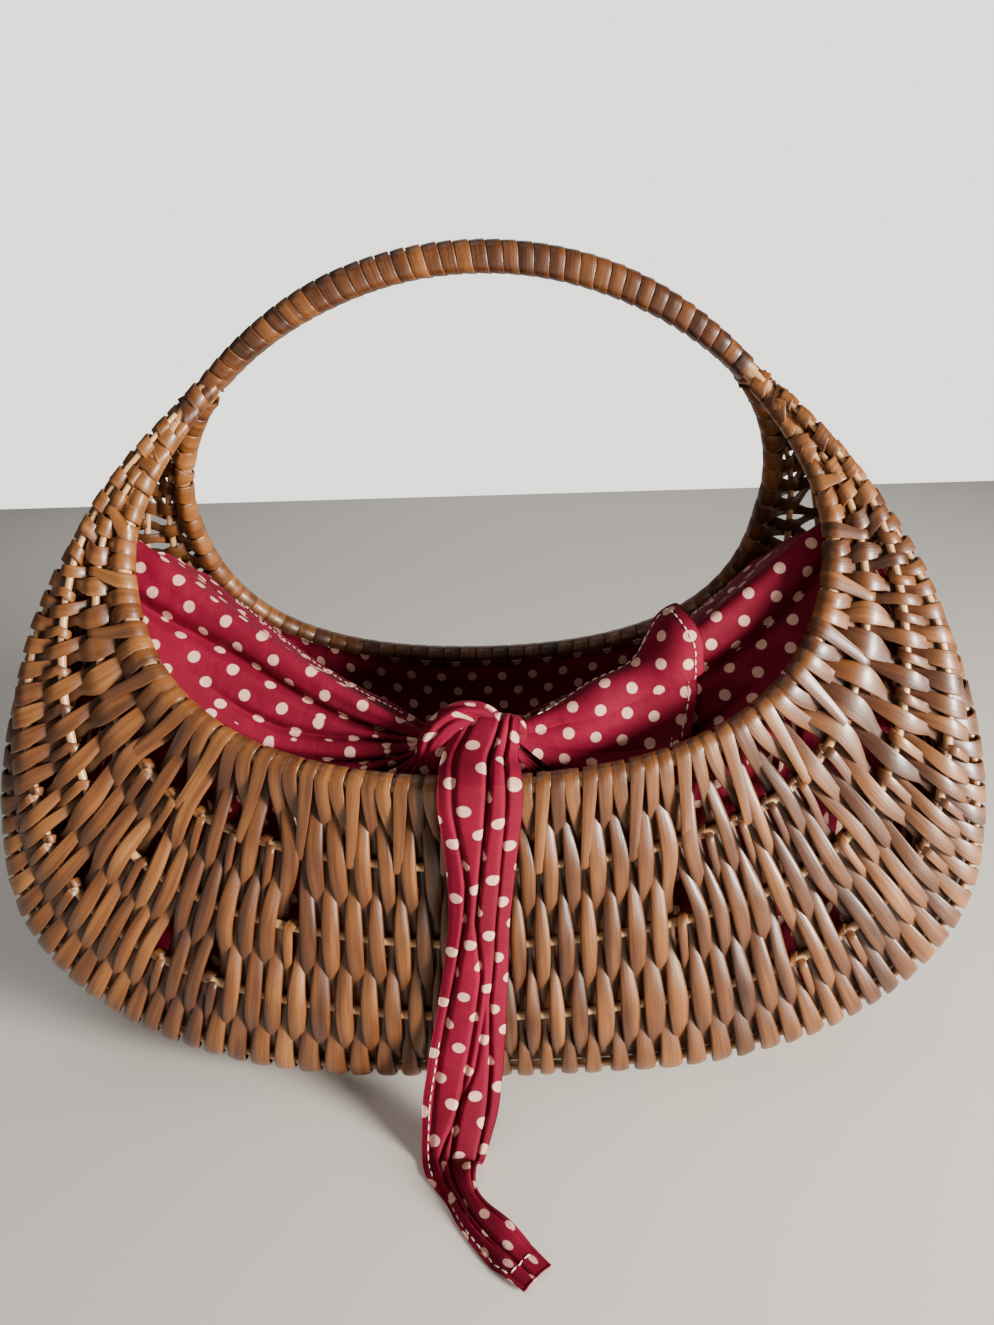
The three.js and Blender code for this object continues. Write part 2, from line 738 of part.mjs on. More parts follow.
// An ear: the strip goes round both hoops below a pole, in laps that widen as they part
function earGeometry(name, side) {
  const angles = [-1, 0, 1].map((part) => part * ear_corner_angle);
  const lap = [...angles.map((angle) => [-1, angle]), ...angles.map((angle) => [1, -angle])];
  const total = ear_laps * lap.length;
  const reach = (hoop_rod_radius + weave_gap + wrap_thickness / 2) / Math.cos(ear_corner_angle / 2);
  const shareAt = (part) => {
    const share = lerp(ear_first_share, ear_last_share, part);
    return side < 0 ? share : 1 - share;
  };
  const rings = [];
  for (let i = 0; i <= total; i += 1) {
    const share = shareAt(i / total);
    const [hoop_side, angle] = lap[i % lap.length];
    const here = member(hoop_side * rim_index, share);
    const level = back.clone().projectOnPlane(here.along).normalize();
    const rise = new THREE.Vector3().crossVectors(here.along, level);
    const face = level.multiplyScalar(hoop_side * Math.cos(angle)).addScaledVector(rise, Math.sin(angle));
    const next_lap = member(hoop_side * rim_index, shareAt((i + lap.length) / total));
    const width = here.centre.distanceTo(next_lap.centre) - ear_gap;
    const bend = bendTowards(here, share, face, (ear_last_share - ear_first_share) / ear_laps / 2);
    rings.push(stripRing(here.centre.addScaledVector(face, reach + bend), here.along, face, width));
  }
  return windingGeometry(name, rings, lap.length);
}

add("front_hoop", hoopGeometry(-1), rib_willow);
add("back_hoop", hoopGeometry(1), rib_willow);
for (let index = -ribs_each_side; index <= ribs_each_side; index += 1) {
  const number = String(index + ribs_each_side + 1).padStart(2, "0");
  add(`rib_${number}`, ribGeometry(index), rib_willow);
}
for (let strand = 0; strand < strand_count; strand += 1) {
  const first = Math.round((strand * row_count) / strand_count);
  const last = Math.round(((strand + 1) * row_count) / strand_count) - 1;
  const number = String(strand + 1).padStart(2, "0");
  add(`strand_${number}`, strandGeometry(first, last), willow);
}
add("handle_wrap", handleWrapGeometry(), willow);
add("left_ear", earGeometry("left_ear", -1), willow);
add("right_ear", earGeometry("right_ear", 1), willow);

// The lining: a sheet along the inside of the wall, with its top edges below the rims. Its
// folds run round the wall, from edge to edge.
function wallPoint(index, share) {
  const low = Math.min(Math.floor(index), rim_index - 1);
  return member(low, share).centre.lerp(member(low + 1, share).centre, index - low);
}

function liningPoint(index, share, depth) {
  const half = lining_edge_share / 2;
  const across = wallPoint(index + half, share).sub(wallPoint(index - half, share));
  const along = member(Math.round(index), share).along;
  return wallPoint(index, share).addScaledVector(across.cross(along).normalize(), -depth);
}

function liningGeometry() {
  const edge = rim_index - lining_edge_share;
  const indices = [-edge];
  for (let index = -ribs_each_side; index <= ribs_each_side; index += 1) indices.push(index);
  indices.push(edge);
  const steps = 2 * lining_folds;
  const grid = (shift) => Array.from({ length: steps + 1 }, (_, step) => {
    const share = lerp(lining_first_share, 1 - lining_first_share, step / steps);
    const fold = step % 2 === 1 ? lining_fold_depth : 0;
    return indices.map((index) => liningPoint(index, share, lining_depth + fold + shift));
  });
  return sheet(grid(cloth_thickness / 2), grid(-cloth_thickness / 2));
}

// The knot sits inside the front rim, a little above it
const knot_rim = hoopPoint(-1, rim_outline.at(0.5));
const knot_centre = knot_rim.clone().add(new THREE.Vector3(knot_shift, knot_setback, knot_rise));

// One closing panel. Its edge runs up the inside of the front rim and across the basket's
// end to the back rim, and from there the cloth gathers to the side of the knot.
function panelEdge(side, share) {
  const high = side < 0 ? panel_high_share : 1 - panel_high_share;
  const low = side < 0 ? panel_low_share : 1 - panel_low_share;
  const end = side < 0 ? panel_back_share : 1 - panel_back_share;
  const inside = (rim_side, place) => {
    const point = hoopPoint(rim_side, rim_outline.at(place));
    return point.addScaledVector(back, -rim_side * panel_rim_distance);
  };
  const steps = 2 * panel_folds;
  const rim_part = Array.from({ length: steps + 1 }, (_, i) => inside(-1, lerp(low, high, i / steps)));
  return new Track([...rim_part, inside(1, end)]).at(share);
}

function panelPoint(side, share, part) {
  const gather = knot_centre.clone();
  gather.x += side * (knot_half_size.x + cloth_gap + cloth_thickness);
  gather.y += (share - 0.5) * gather_width;
  const point = panelEdge(side, share).lerp(gather, part);
  const swell = Math.sin(Math.PI * part);
  const fold = (Math.cos(2 * Math.PI * panel_folds * share) * panel_fold_depth) / 2;
  return point.addScaledVector(up, (fold - panel_sag) * swell);
}

// A grid of points on a panel, lifted along its normal
function panelGrid(side, columns, rows, lift) {
  const column_count = panel_folds * panel_fold_steps;
  const grid = [];
  for (let row = rows[0]; row <= rows[1]; row += 1) {
    const line = [];
    for (let column = columns[0]; column <= columns[1]; column += 1) {
      const at = (i, k) => panelPoint(side, i / column_count, k / panel_rows);
      const across = at(Math.min(column + 1, column_count), row).sub(at(Math.max(column - 1, 0), row));
      const along = at(column, Math.min(row + 1, panel_rows)).sub(at(column, Math.max(row - 1, 0)));
      const normal = across.cross(along).normalize();
      if (normal.z < 0) normal.negate();
      line.push(at(column, row).addScaledVector(normal, lift));
    }
    grid.push(line);
  }
  return grid;
}

function panelGeometry(side) {
  const columns = [0, panel_folds * panel_fold_steps];
  const rows = [0, panel_rows];
  const half = cloth_thickness / 2;
  return sheet(panelGrid(side, columns, rows, half), panelGrid(side, columns, rows, -half));
}

// The end of the knot that lies over the right panel
function shortTailGeometry() {
  const low = cloth_thickness / 2 + short_tail_lift;
  const high = low + cloth_thickness;
  return sheet(
    panelGrid(1, short_tail_columns, short_tail_rows, high),
    panelGrid(1, short_tail_columns, short_tail_rows, low),
  );
}

// The knot: a rounded body with one loop standing on it
const wasm = await Module();
wasm.setup();
function solidOf(geometry) {
  const plain = new THREE.BufferGeometry();
  plain.setAttribute("position", geometry.getAttribute("position"));
  plain.setIndex(geometry.getIndex());
  const merged = mergeVertices(plain);
  return new wasm.Manifold(new wasm.Mesh({
    numProp: 3,
    vertProperties: new Float32Array(merged.getAttribute("position").array),
    triVerts: new Uint32Array(merged.getIndex().array),
  }));
}

const chunks = (list) => Array.from({ length: list.length / 3 }, (_, i) => list.slice(3 * i, 3 * i + 3));

function knotGeometry() {
  const body = new THREE.SphereGeometry(1, ...knot_facets);
  body.scale(knot_half_size.x, knot_half_size.y, knot_half_size.z);
  const loop = new THREE.TorusGeometry(knot_loop_radius, knot_loop_half_thickness, ...knot_loop_facets);
  loop.rotateX(Math.PI / 2);
  loop.scale(1, knot_loop_depth_scale, 1);
  loop.translate(0, 0, knot_loop_rise);
  const mesh = solidOf(body).add(solidOf(loop)).translate(knot_centre.toArray()).getMesh();
  return skin(Array.from(mesh.vertProperties), chunks(Array.from(mesh.triVerts)));
}

// The long tail: a pleated band from the knot over the front rim, down the wall and out
// over the table. It leans to the left as it hangs and turns right again on the table.
const pleat_profile = [
  [-0.5, -0.5], [-0.5, 0], [-0.3, 0.5], [-0.1, 0.1], [0.1, 0.5], [0.3, 0.1], [0.5, 0.4], [0.5, -0.5],
];

function tailPath() {
  const rim_clear = rimBandReach() + tail_rim_gap + tail_knot_thickness / 2;
  const over = knot_rim.clone().addScaledVector(up, rim_clear);
  const start = new THREE.Vector3(knot_rim.x, knot_centre.y - knot_half_size.y - cloth_gap, over.z);
  const [shoulder_point, front] = [Math.PI / 4, Math.PI / 2].map((angle) => knot_rim.clone()
    .addScaledVector(back, -rim_clear * Math.sin(angle))
    .addScaledVector(up, rim_clear * Math.cos(angle)));
  const beside = tail_beside_ribs.map((index) => {
    const here = member(index, 0.5);
    const normal = outward(member(index - 1, 0.5), here, member(index + 1, 0.5));
    return here.centre.addScaledVector(normal, tail_wall_distance);
  });
  const last = beside.at(-1);
  const foot = last.clone().addScaledVector(back, -tail_foot_flare).setZ(last.z * tail_foot_share);
  const hanging = [start, over, shoulder_point, front, ...beside, foot].map((point) => {
    const drop = 1 - Math.min(point.z / over.z, 1);
    return point.clone().setX(knot_rim.x + tail_lean * drop * drop);
  });
  const lying = tail_floor_shares.map(([out, aside]) => new THREE.Vector3(
    knot_rim.x + tail_lean + aside * tail_run_out,
    foot.y - out * tail_run_out,
    0,
  ));
  return new THREE.CatmullRomCurve3([...hanging, ...lying], false, "centripetal");
}

// Greatest distance of a rim turn's outer face from the centre of the rim
function rimBandReach() {
  const half_step = (1.5 * Math.PI) / rim_turn_steps;
  return (rim_reach + strand_half_thickness) / Math.cos(half_step);
}

function tailGeometry() {
  const path = tailPath();
  const sizes = Array.from({ length: tail_steps + 1 }, (_, step) => {
    const share = step / tail_steps;
    const grown = smoothstep(share, 0, tail_grown_share);
    const shrunk = smoothstep(share, tail_grown_share, 1);
    return {
      at: path.getPointAt(share),
      width: lerp(lerp(tail_knot_width, tail_width, grown), tail_end_width, shrunk),
      thickness: lerp(tail_knot_thickness, tail_end_thickness, share),
    };
  });
  for (const { at, thickness } of sizes) at.z = Math.max(at.z, thickness / 2);
  const centres = sizes.map(({ at }) => at);
  const rings = sizes.map(({ at, width, thickness }, i) => {
    const along = directionAt(centres, i, false);
    const across = right.clone().projectOnPlane(along).normalize();
    const normal = new THREE.Vector3().crossVectors(along, across);
    const ring = pleat_profile.map(([aside, high]) => at.clone()
      .addScaledVector(across, aside * width)
      .addScaledVector(normal, high * thickness));
    const lowest = Math.min(...ring.map((point) => point.z));
    return ring.map((point) => point.addScaledVector(up, Math.max(0, -lowest)));
  });
  return loft(rings);
}

add("lining_bag", liningGeometry(), cotton);
add("left_panel", panelGeometry(-1), cotton);
add("right_panel", panelGeometry(1), cotton);
add("knot", knotGeometry(), cotton);
add("long_tail", tailGeometry(), cotton);
add("short_tail", shortTailGeometry(), cotton);

export default basket;
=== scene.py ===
import math

import bpy
import numpy as np
from mathutils import Matrix


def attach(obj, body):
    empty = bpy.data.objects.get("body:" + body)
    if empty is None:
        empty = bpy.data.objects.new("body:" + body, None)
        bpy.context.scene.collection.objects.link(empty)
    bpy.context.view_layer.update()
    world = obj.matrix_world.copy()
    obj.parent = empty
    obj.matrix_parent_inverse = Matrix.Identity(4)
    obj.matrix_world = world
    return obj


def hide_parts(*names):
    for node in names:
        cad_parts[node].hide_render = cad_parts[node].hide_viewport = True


# A lined willow basket of the gondola kind: two bent hoops that are handle and rims at once,
# eleven ribs, split willow woven round them, and a spotted cotton lining tied in a knot over
# the front rim. Metres, in the frame of the solids: X right, Y back, Z up.
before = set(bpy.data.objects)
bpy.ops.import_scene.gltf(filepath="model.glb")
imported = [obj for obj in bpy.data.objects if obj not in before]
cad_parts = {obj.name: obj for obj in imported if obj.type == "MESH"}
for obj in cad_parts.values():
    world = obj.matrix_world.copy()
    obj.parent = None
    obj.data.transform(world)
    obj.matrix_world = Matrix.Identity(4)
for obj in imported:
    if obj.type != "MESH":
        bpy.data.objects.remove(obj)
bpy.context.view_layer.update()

# ---------------------------------------------------------------------------------------
# Table, light and camera
# The basket stands on a plain pale table in soft daylight from a low window on the right,
# and is seen from the front, a little to the right and above.
camera = bpy.data.objects.new("camera", bpy.data.cameras.new("camera"))
camera_right = (0.9994, 0.0124, -0.0314)
camera_up = (0.0252, 0.3461, 0.9379)
camera_back = (0.0225, -0.9381, 0.3456)
camera_place = (0.01487, -0.43744, 0.33771)
camera_frame = np.eye(4)
camera_frame[:3] = np.transpose([camera_right, camera_up, camera_back, camera_place])
camera.matrix_world = Matrix(camera_frame)
camera.data.sensor_fit = "VERTICAL"
camera.data.sensor_height = 36
camera.data.lens = 28.03
camera.data.clip_start = 0.01
bpy.context.scene.collection.objects.link(camera)
bpy.context.scene.camera = camera


class Wire:
    """A socket of a finish, on which sums can be written as plain expressions."""

    def __init__(self, finish, socket):
        self.finish = finish
        self.socket = socket

    def sum(self, operation, *values):
        return self.finish.node("Math", {"operation": operation}, dict(enumerate(values)))

    def __add__(self, other):
        return self.sum("ADD", self, other)

    def __radd__(self, other):
        return self.sum("ADD", other, self)

    def __sub__(self, other):
        return self.sum("SUBTRACT", self, other)

    def __mul__(self, other):
        return self.sum("MULTIPLY", self, other)

    def __rmul__(self, other):
        return self.sum("MULTIPLY", other, self)

    def __gt__(self, other):
        return self.sum("GREATER_THAN", self, other)

    def or_less(self, other):
        return self.sum("MINIMUM", self, other)

    def sine(self):
        return self.sum("SINE", self)


class Finish:
    """The nodes of one material."""

    def __init__(self, name, **constants):
        self.material = bpy.data.materials.new(name)
        self.material.use_nodes = True
        self.tree = self.material.node_tree
        self.skin = self.tree.nodes["Principled BSDF"]
        for socket, value in constants.items():
            self.skin.inputs[socket.replace("_", " ")].default_value = value

    def node(self, kind, settings, sockets, result=0):
        made = self.tree.nodes.new("ShaderNode" + kind)
        for name, value in settings.items():
            if name == "stops":
                ramp = made.color_ramp
                while len(ramp.elements) < len(value):
                    ramp.elements.new(0.5)
                for stop, (place, tint) in zip(ramp.elements, value):
                    stop.position = place
                    stop.color = tint
            else:
                setattr(made, name, value)
        for name, value in sockets.items():
            if isinstance(value, Wire):
                self.tree.links.new(value.socket, made.inputs[name])
            else:
                made.inputs[name].default_value = value
        return Wire(self, made.outputs[result])

    def mark(self, name):
        """One of the vectors that the mesh carries."""
        return self.node("Attribute", {"attribute_name": name}, {}, "Vector")

    def parts(self, vector):
        split = self.node("SeparateXYZ", {}, {0: vector}).socket.node
        return [Wire(self, output) for output in split.outputs]

    def vector(self, operation, *values, result=0):
        return self.node("VectorMath", {"operation": operation}, dict(enumerate(values)), result)

    def mix(self, factor, first, second):
        """A colour between two; the colour sockets of the node have the numbers 6 and 7."""
        return self.node("Mix", {"data_type": "RGBA"}, {0: factor, 6: first, 7: second}, 2)

    def ramp(self, factor, *stops):
        """Colours at shares of the factor: a share, then red, green and blue of 255."""
        stops = [(place, colour(*tint)) for place, *tint in stops]
        return self.node("ValToRGB", {"stops": stops}, {0: factor})

    def noise(self, place, scale, detail):
        return self.node("TexNoise", {}, {"Vector": place, "Scale": scale, "Detail": detail})

    def grain(self, place, factors, detail):
        """Noise that is finer along one axis of the place than along another."""
        return self.noise(self.vector("MULTIPLY", place, factors), 1, detail)

    def bump(self, height, distance, strength):
        sockets = {"Height": height, "Distance": distance, "Strength": strength}
        self.feed("Normal", self.node("Bump", {}, sockets))

    def feed(self, socket, wire):
        self.tree.links.new(wire.socket, self.skin.inputs[socket])


def colour(*screen):
    """A full colour that reads as these screen values from 0 to 255."""
    parts = [value / 255 for value in screen]
    lit = (((part + 0.055) / 1.055) ** 2.4 if part > 0.04 else part / 12.92 for part in parts)
    return (*lit, 1)


def new_mesh(name, points, faces, marks, finish, smooth=True):
    """A mesh object of these points and faces, with vectors per point for its finish."""
    mesh = bpy.data.meshes.new(name)
    mesh.from_pydata(np.asarray(points, float).tolist(), [], faces)
    for mark, values in marks.items():
        layer = mesh.attributes.new(mark, "FLOAT_VECTOR", "POINT")
        layer.data.foreach_set("vector", np.asarray(values, float).ravel())
    mesh.polygons.foreach_set("use_smooth", [smooth] * len(mesh.polygons))
    mesh.materials.append(finish.material)
    made = bpy.data.objects.new(name, mesh)
    bpy.context.scene.collection.objects.link(made)
    return made


table_finish = Finish("pale_table", Base_Color=colour(232, 228, 221), Roughness=0.7)
table_half = 1.3
table_corners = np.array([(-1, -1, 0), (1, -1, 0), (1, 1, 0), (-1, 1, 0)]) * table_half
table = new_mesh("table", table_corners, [(0, 1, 2, 3)], {}, table_finish, smooth=False)

# Lamps: name, place, size, power in watts, tint; each points at the middle of the basket
lamps = [
    ("window", (1.12, -0.78, 0.32), 0.4, 74, (1.0, 0.95, 0.87)),
    ("sky", (-0.35, -0.1, 1.45), 0.8, 2.4, (0.97, 0.98, 1.0)),
    ("room", (-1.0, -1.1, 0.5), 0.9, 2.5, (1.0, 0.94, 0.87)),
    ("wall_glow", (0.1, 1.3, 0.8), 1.2, 4, (1.0, 0.99, 0.98)),
]
lamp_goal = np.array((0, 0, 0.15))
for name, place, size, power, tint in lamps:
    light = bpy.data.lights.new(name, "AREA")
    light.size = size
    light.energy = power
    light.color = tint
    lamp = bpy.data.objects.new(name, light)
    lamp.location = place
    away = lamp_goal - np.array(place)
    pitch_angle = math.atan2(math.hypot(away[0], away[1]), -away[2])
    lamp.rotation_euler = (pitch_angle, 0, math.atan2(away[1], away[0]) - math.pi / 2)
    bpy.context.scene.collection.objects.link(lamp)

# The camera sees a bright wall behind the table; the basket gets only a little of its light
world = bpy.data.worlds.new("pale_room")
world.use_nodes = True
world_nodes = world.node_tree.nodes
room_glow = world_nodes["Background"]
wall_glow = world_nodes.new("ShaderNodeBackground")
for glow, tint, strength in (
    (room_glow, (226, 224, 220), 0.15),
    (wall_glow, (236, 234, 230), 2.4),
):
    glow.inputs["Color"].default_value = colour(*tint)
    glow.inputs["Strength"].default_value = strength
wall_choice = world_nodes.new("ShaderNodeMixShader")
seen = world_nodes.new("ShaderNodeLightPath")
for output, goal in (
    (seen.outputs["Is Camera Ray"], wall_choice.inputs[0]),
    (room_glow.outputs[0], wall_choice.inputs[1]),
    (wall_glow.outputs[0], wall_choice.inputs[2]),
    (wall_choice.outputs[0], world_nodes["World Output"].inputs["Surface"]),
):
    world.node_tree.links.new(output, goal)
bpy.context.scene.world = world

# ---------------------------------------------------------------------------------------
# Hoops and ribs
# Two willow rods bent to hoops, side by side as the handle and parted as the rims, and
# eleven thinner rods from end to end under them. Peeled, polished and varnished.
MM = 0.001
handle_height = 347.6 * MM
pole_height = 306 * MM
hoop_wide_height = 241 * MM
rim_height = 152.8 * MM
hoop_half_width = 142 * MM
hoop_rod_radius = 3.2 * MM
handle_rod_half_height = 4.9 * MM
handle_rod_half_width = 3.4 * MM
handle_half_gap = 3.9 * MM
handle_swell_share = 0.3
hoop_spread_share = 0.474
# The front hoop and the back one: share of the full width, and shift to the right
hoop_settings = {-1: (1.0, -1.6 * MM), 1: (0.94, -3.7 * MM)}
keel_half_length = 207.5 * MM
keel_wide_height = 104.6 * MM
base_half_length = 65.6 * MM
base_height = 3.6 * MM
rib_radius = 1.9 * MM
rib_end_radius = 0.9 * MM
rib_taper_share = 0.25
rib_starts = {"keel": 0.02, "long": 0.05, "short": 0.085}
rim_index = 6
rod_sides = 14
rod_waviness = 0.05
rod_wave_length = 23 * MM
rib_rings = 260


def between(low, high, part):
    return low + (high - low) * part


def smooth(value, low, high):
    part = np.clip((np.asarray(value, float) - low) / (high - low), 0, 1)
    return part * part * (3 - 2 * part)


def unit(vectors):
    return vectors / np.maximum(np.linalg.norm(vectors, axis=-1, keepdims=True), 1e-12)


def square_to(vectors, direction):
    """What is left of the vectors at right angles to a direction, as unit vectors."""
    return unit(vectors - direction * np.sum(vectors * direction, axis=-1, keepdims=True))


def together(*values):
    """Values joined as the coordinates of points."""
    return np.stack(np.broadcast_arrays(*values), axis=-1)


def set_out(centres, first, second, x, y):
    """Points beside each centre: x along the first direction and y along the second."""
    return centres[:, None] + first[:, None] * x[..., None] + second[:, None] * y[..., None]


def around(sides):
    return np.linspace(0, 2 * math.pi, sides, endpoint=False)


def from_end(share):
    return np.minimum(share, 1 - share)


def bezier(corners, places):
    a, b, c, d = np.asarray(corners, float)
    s = np.asarray(places, float)[:, None]
    return (1 - s) ** 3 * a + 3 * (1 - s) ** 2 * s * b + 3 * (1 - s) * s ** 2 * c + s ** 3 * d


def spline(a, b, c, d, part):
    """A smooth way from b to c, where a comes before it and d after it."""
    start, end = (c - a) / 2, (d - b) / 2
    return (
        (2 * b - 2 * c + start + end) * part ** 3
        + (3 * c - 3 * b - 2 * start - end) * part ** 2 + start * part + b
    )


def way_along(points):
    """Length along a chain of points, at each of them."""
    return np.concatenate([[0], np.cumsum(np.linalg.norm(np.diff(points, axis=0), axis=1))])


def read_line(at, marks, points):
    return together(*(np.interp(at, marks, column) for column in points.T))


def along_chain(points, shares):
    """Points at these shares of the length of a chain of points."""
    marks = way_along(points)
    return read_line(np.clip(shares, 0, 1) * marks[-1], marks, points)


def whole(half):
    """Left half, mirrored, then right half: from the left pole to the right pole."""
    return np.concatenate([half * (-1, 1), half[-2::-1]])


def bend(start, end, near_start, near_end):
    """Corners of a curve: the two inner ones lie at shares of the way across and up."""
    start, end = np.array(start), np.array(end)
    inner = between(start, end, np.array(near_start)), between(end, start, np.array(near_end))
    return start, *inner, end


# The outlines of hoops and keel seen from the front, in curves that meet at the widest points
fine = np.linspace(0, 1, 201)
hoop_widest = (hoop_half_width, hoop_wide_height)
keel_widest = (keel_half_length, keel_wide_height)
shoulder = bend((0, handle_height), hoop_widest, (0.634, 0), (0, 0.297))
hip = bend(hoop_widest, (0, rim_height), (0, 0.642), (0.678, 0))
pole_part = float(np.interp(-pole_height, -bezier(shoulder, fine)[:, 1], fine))
pole = (bezier(shoulder, [pole_part])[0, 0], pole_height)
bow = bend(pole, keel_widest, (0.453, 0.158), (0, 0.453))
bilge = bend(keel_widest, (base_half_length, base_height), (0, 0.631), (0.535, 0))
rim_line = whole(np.concatenate([
    bezier(shoulder, between(pole_part, 1, fine)), bezier(hip, fine[1:])]))
handle_line = whole(bezier(shoulder, between(pole_part, 0, fine)))
keel_line = whole(np.concatenate([
    bezier(bow, fine), bezier(bilge, fine[1:]), [(0, base_height)]]))


def hoop_point(side, line):
    """Points of a hoop in space, from points of its outline."""
    width_share, shift = hoop_settings[side]
    drop = pole_height - line[:, 1]
    settled = smooth(drop, 0, (pole_height - rim_height) / 2)
    x = line[:, 0] * between(1, width_share, settled) + shift * settled
    y = side * (handle_half_gap + hoop_spread_share * np.maximum(drop, 0))
    return together(x, y, line[:, 1])


# Rows meet the rim and the keel at these shares of their half lengths, at even steps of the
# way: they fan out at the lower corners
rim_row_shares = [0, 0.19, 0.37, 0.52, 0.625, 0.755, 1]
keel_row_shares = [0, 0.085, 0.25, 0.47, 0.66, 0.845, 1]
spread_knots = together(rim_row_shares, keel_row_shares) / 2
spread_knots = np.concatenate([spread_knots, 1 - spread_knots[-2::-1]])


def row_spread(share):
    last = len(spread_knots) - 1
    place = np.clip(share, 0, 1) * last
    first = np.minimum(place.astype(int), last - 1)
    knots = [spread_knots[np.clip(first + k, 0, last)] for k in (-1, 0, 1, 2)]
    return spline(*knots, (place - first)[:, None])


# The wall as a grid of points: rows at even shares of the way from pole to pole, columns from
# the front hoop (-6) over the keel (0) to the back hoop (6)
wall_rows = 801
wall_columns_per_rib = 20
wall_shares = np.linspace(0, 1, wall_rows)
wall_columns = np.linspace(-rim_index, rim_index, 2 * rim_index * wall_columns_per_rib + 1)
wall_spread = row_spread(wall_shares)
wall_keel = along_chain(keel_line, wall_spread[:, 1])
# Corners of the curve from hoop to keel: share of the hoop's reach out, and of the way down
wall_corners = ((1, 0), (1, 1.05), (1.28, 1), (0, 1))
wall_grid = np.zeros((wall_rows, len(wall_columns), 3))
for side in (-1, 1):
    wall_hoop = hoop_point(side, along_chain(rim_line, wall_spread[:, 0]))
    columns = np.nonzero(wall_columns * side >= 0)[0]
    shares = 1 - np.abs(wall_columns[columns]) / rim_index
    for row, (hoop, keel) in enumerate(zip(wall_hoop, wall_keel)):
        reach = np.array((keel[0] - hoop[0], 0, keel[1] - hoop[2]))
        corners = [
            (hoop[0] + reach[0] * down, hoop[1] * out, hoop[2] + reach[2] * down)
            for out, down in wall_corners
        ]
        wall_grid[row, columns] = along_chain(bezier(corners, fine[::4]), shares)
wall_along = np.gradient(wall_grid, axis=0) * (wall_rows - 1)
wall_across = np.gradient(wall_grid, axis=1) * wall_columns_per_rib


def read_grid(grid, share, index):
    row = np.clip(share, 0, 1) * (wall_rows - 1)
    column = (np.clip(index, -rim_index, rim_index) + rim_index) * wall_columns_per_rib
    i = np.minimum(row.astype(int), wall_rows - 2)
    k = np.minimum(column.astype(int), len(wall_columns) - 2)
    a = (row - i)[..., None]
    b = (column - k)[..., None]
    near = grid[i, k] * (1 - b) + grid[i, k + 1] * b
    return near * (1 - a) + (grid[i + 1, k] * (1 - b) + grid[i + 1, k + 1] * b) * a


def on_wall(share, index):
    """Place, direction towards the right pole, direction to the back, and outward normal."""
    share, index = np.broadcast_arrays(np.asarray(share, float), np.asarray(index, float))
    place = read_grid(wall_grid, share, index)
    along = unit(read_grid(wall_along, share, index))
    across = unit(read_grid(wall_across, share, index))
    return place, along, across, unit(np.cross(across, along))


def sweep(rings, marks, closed=False):
    """Points, faces and marks through rings of equal point count, with flat ends or run round."""
    count, sides = rings.shape[:2]
    last = count if closed else count - 1
    faces = []
    for i in range(last):
        near, far = i * sides, (i + 1) % count * sides
        for k in range(sides):
            after = (k + 1) % sides
            faces.append((near + k, near + after, far + after, far + k))
    if not closed:
        faces.append(tuple(range(sides))[::-1])
        faces.append(tuple(range((count - 1) * sides, count * sides)))
    return rings.reshape(-1, 3), faces, {key: value.reshape(-1, 3) for key, value in marks.items()}


def willow_finish(name):
    """Varnished willow, with fibre, streaks, patches and specks along the rod or strand."""
    finish = Finish(name, Roughness=0.35, IOR=1.48, Coat_Roughness=0.22, Coat_IOR=1.5)
    place = finish.mark("strand_place")
    return (
        finish,
        finish.grain(place, (45, 900, 7.3), 4),
        finish.grain(place, (14, 260, 3.1), 3),
        finish.grain(place, (30, 60, 5.7), 2),
        finish.grain(place, (420, 900, 9.1), 2),
    )


rod_willow, rod_fibre, rod_streak, rod_patch, rod_speck = willow_finish("varnished_rod")
rod_value = 0.45 * rod_streak + 0.3 * rod_patch + 0.25 * rod_fibre
rod_willow.feed("Base Color", rod_willow.ramp(
    rod_value, (0.25, 112, 74, 44), (0.45, 166, 120, 78), (0.62, 203, 160, 112),
    (0.8, 224, 190, 148)))
rod_willow.feed("Roughness", 0.28 + 0.3 * rod_patch)
rod_willow.feed("Coat Weight", 0.25 + 0.5 * rod_streak)
rod_willow.bump(rod_fibre + 0.5 * rod_speck, 0.00025, 0.5)


def stand_for(made, node):
    """Puts a piece in the place of its node of the solids."""
    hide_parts(node)
    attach(made, "root")


def rod(name, centres, half_heights, half_widths, seed, closed=False):
    """A smooth rod through these centres; an open one is as uneven as a grown one."""
    draw = np.random.default_rng(seed)
    if closed:
        along = unit(np.roll(centres, -1, axis=0) - np.roll(centres, 1, axis=0))
    else:
        along = unit(np.gradient(centres, axis=0))
    level = square_to(np.array((0, 1.0, 0)), along)
    rise = np.cross(level, along)
    angle = around(rod_sides)
    length = way_along(centres)
    phases = draw.uniform(0, 2 * math.pi, 3)
    wave = sum(np.sin(length / (rod_wave_length * (k + 1)) + phases[k]) for k in range(3)) / 3
    grown = 1 + rod_waviness * wave * (0 if closed else 1)
    high, wide = (half_heights * grown)[:, None], (half_widths * grown)[:, None]
    rings = set_out(centres, rise, level, np.cos(angle) * high, np.sin(angle) * wide)
    marks = {"strand_place": together(length[:, None], angle * rib_radius, float(seed))}
    return new_mesh(name, *sweep(rings, marks, closed), rod_willow)


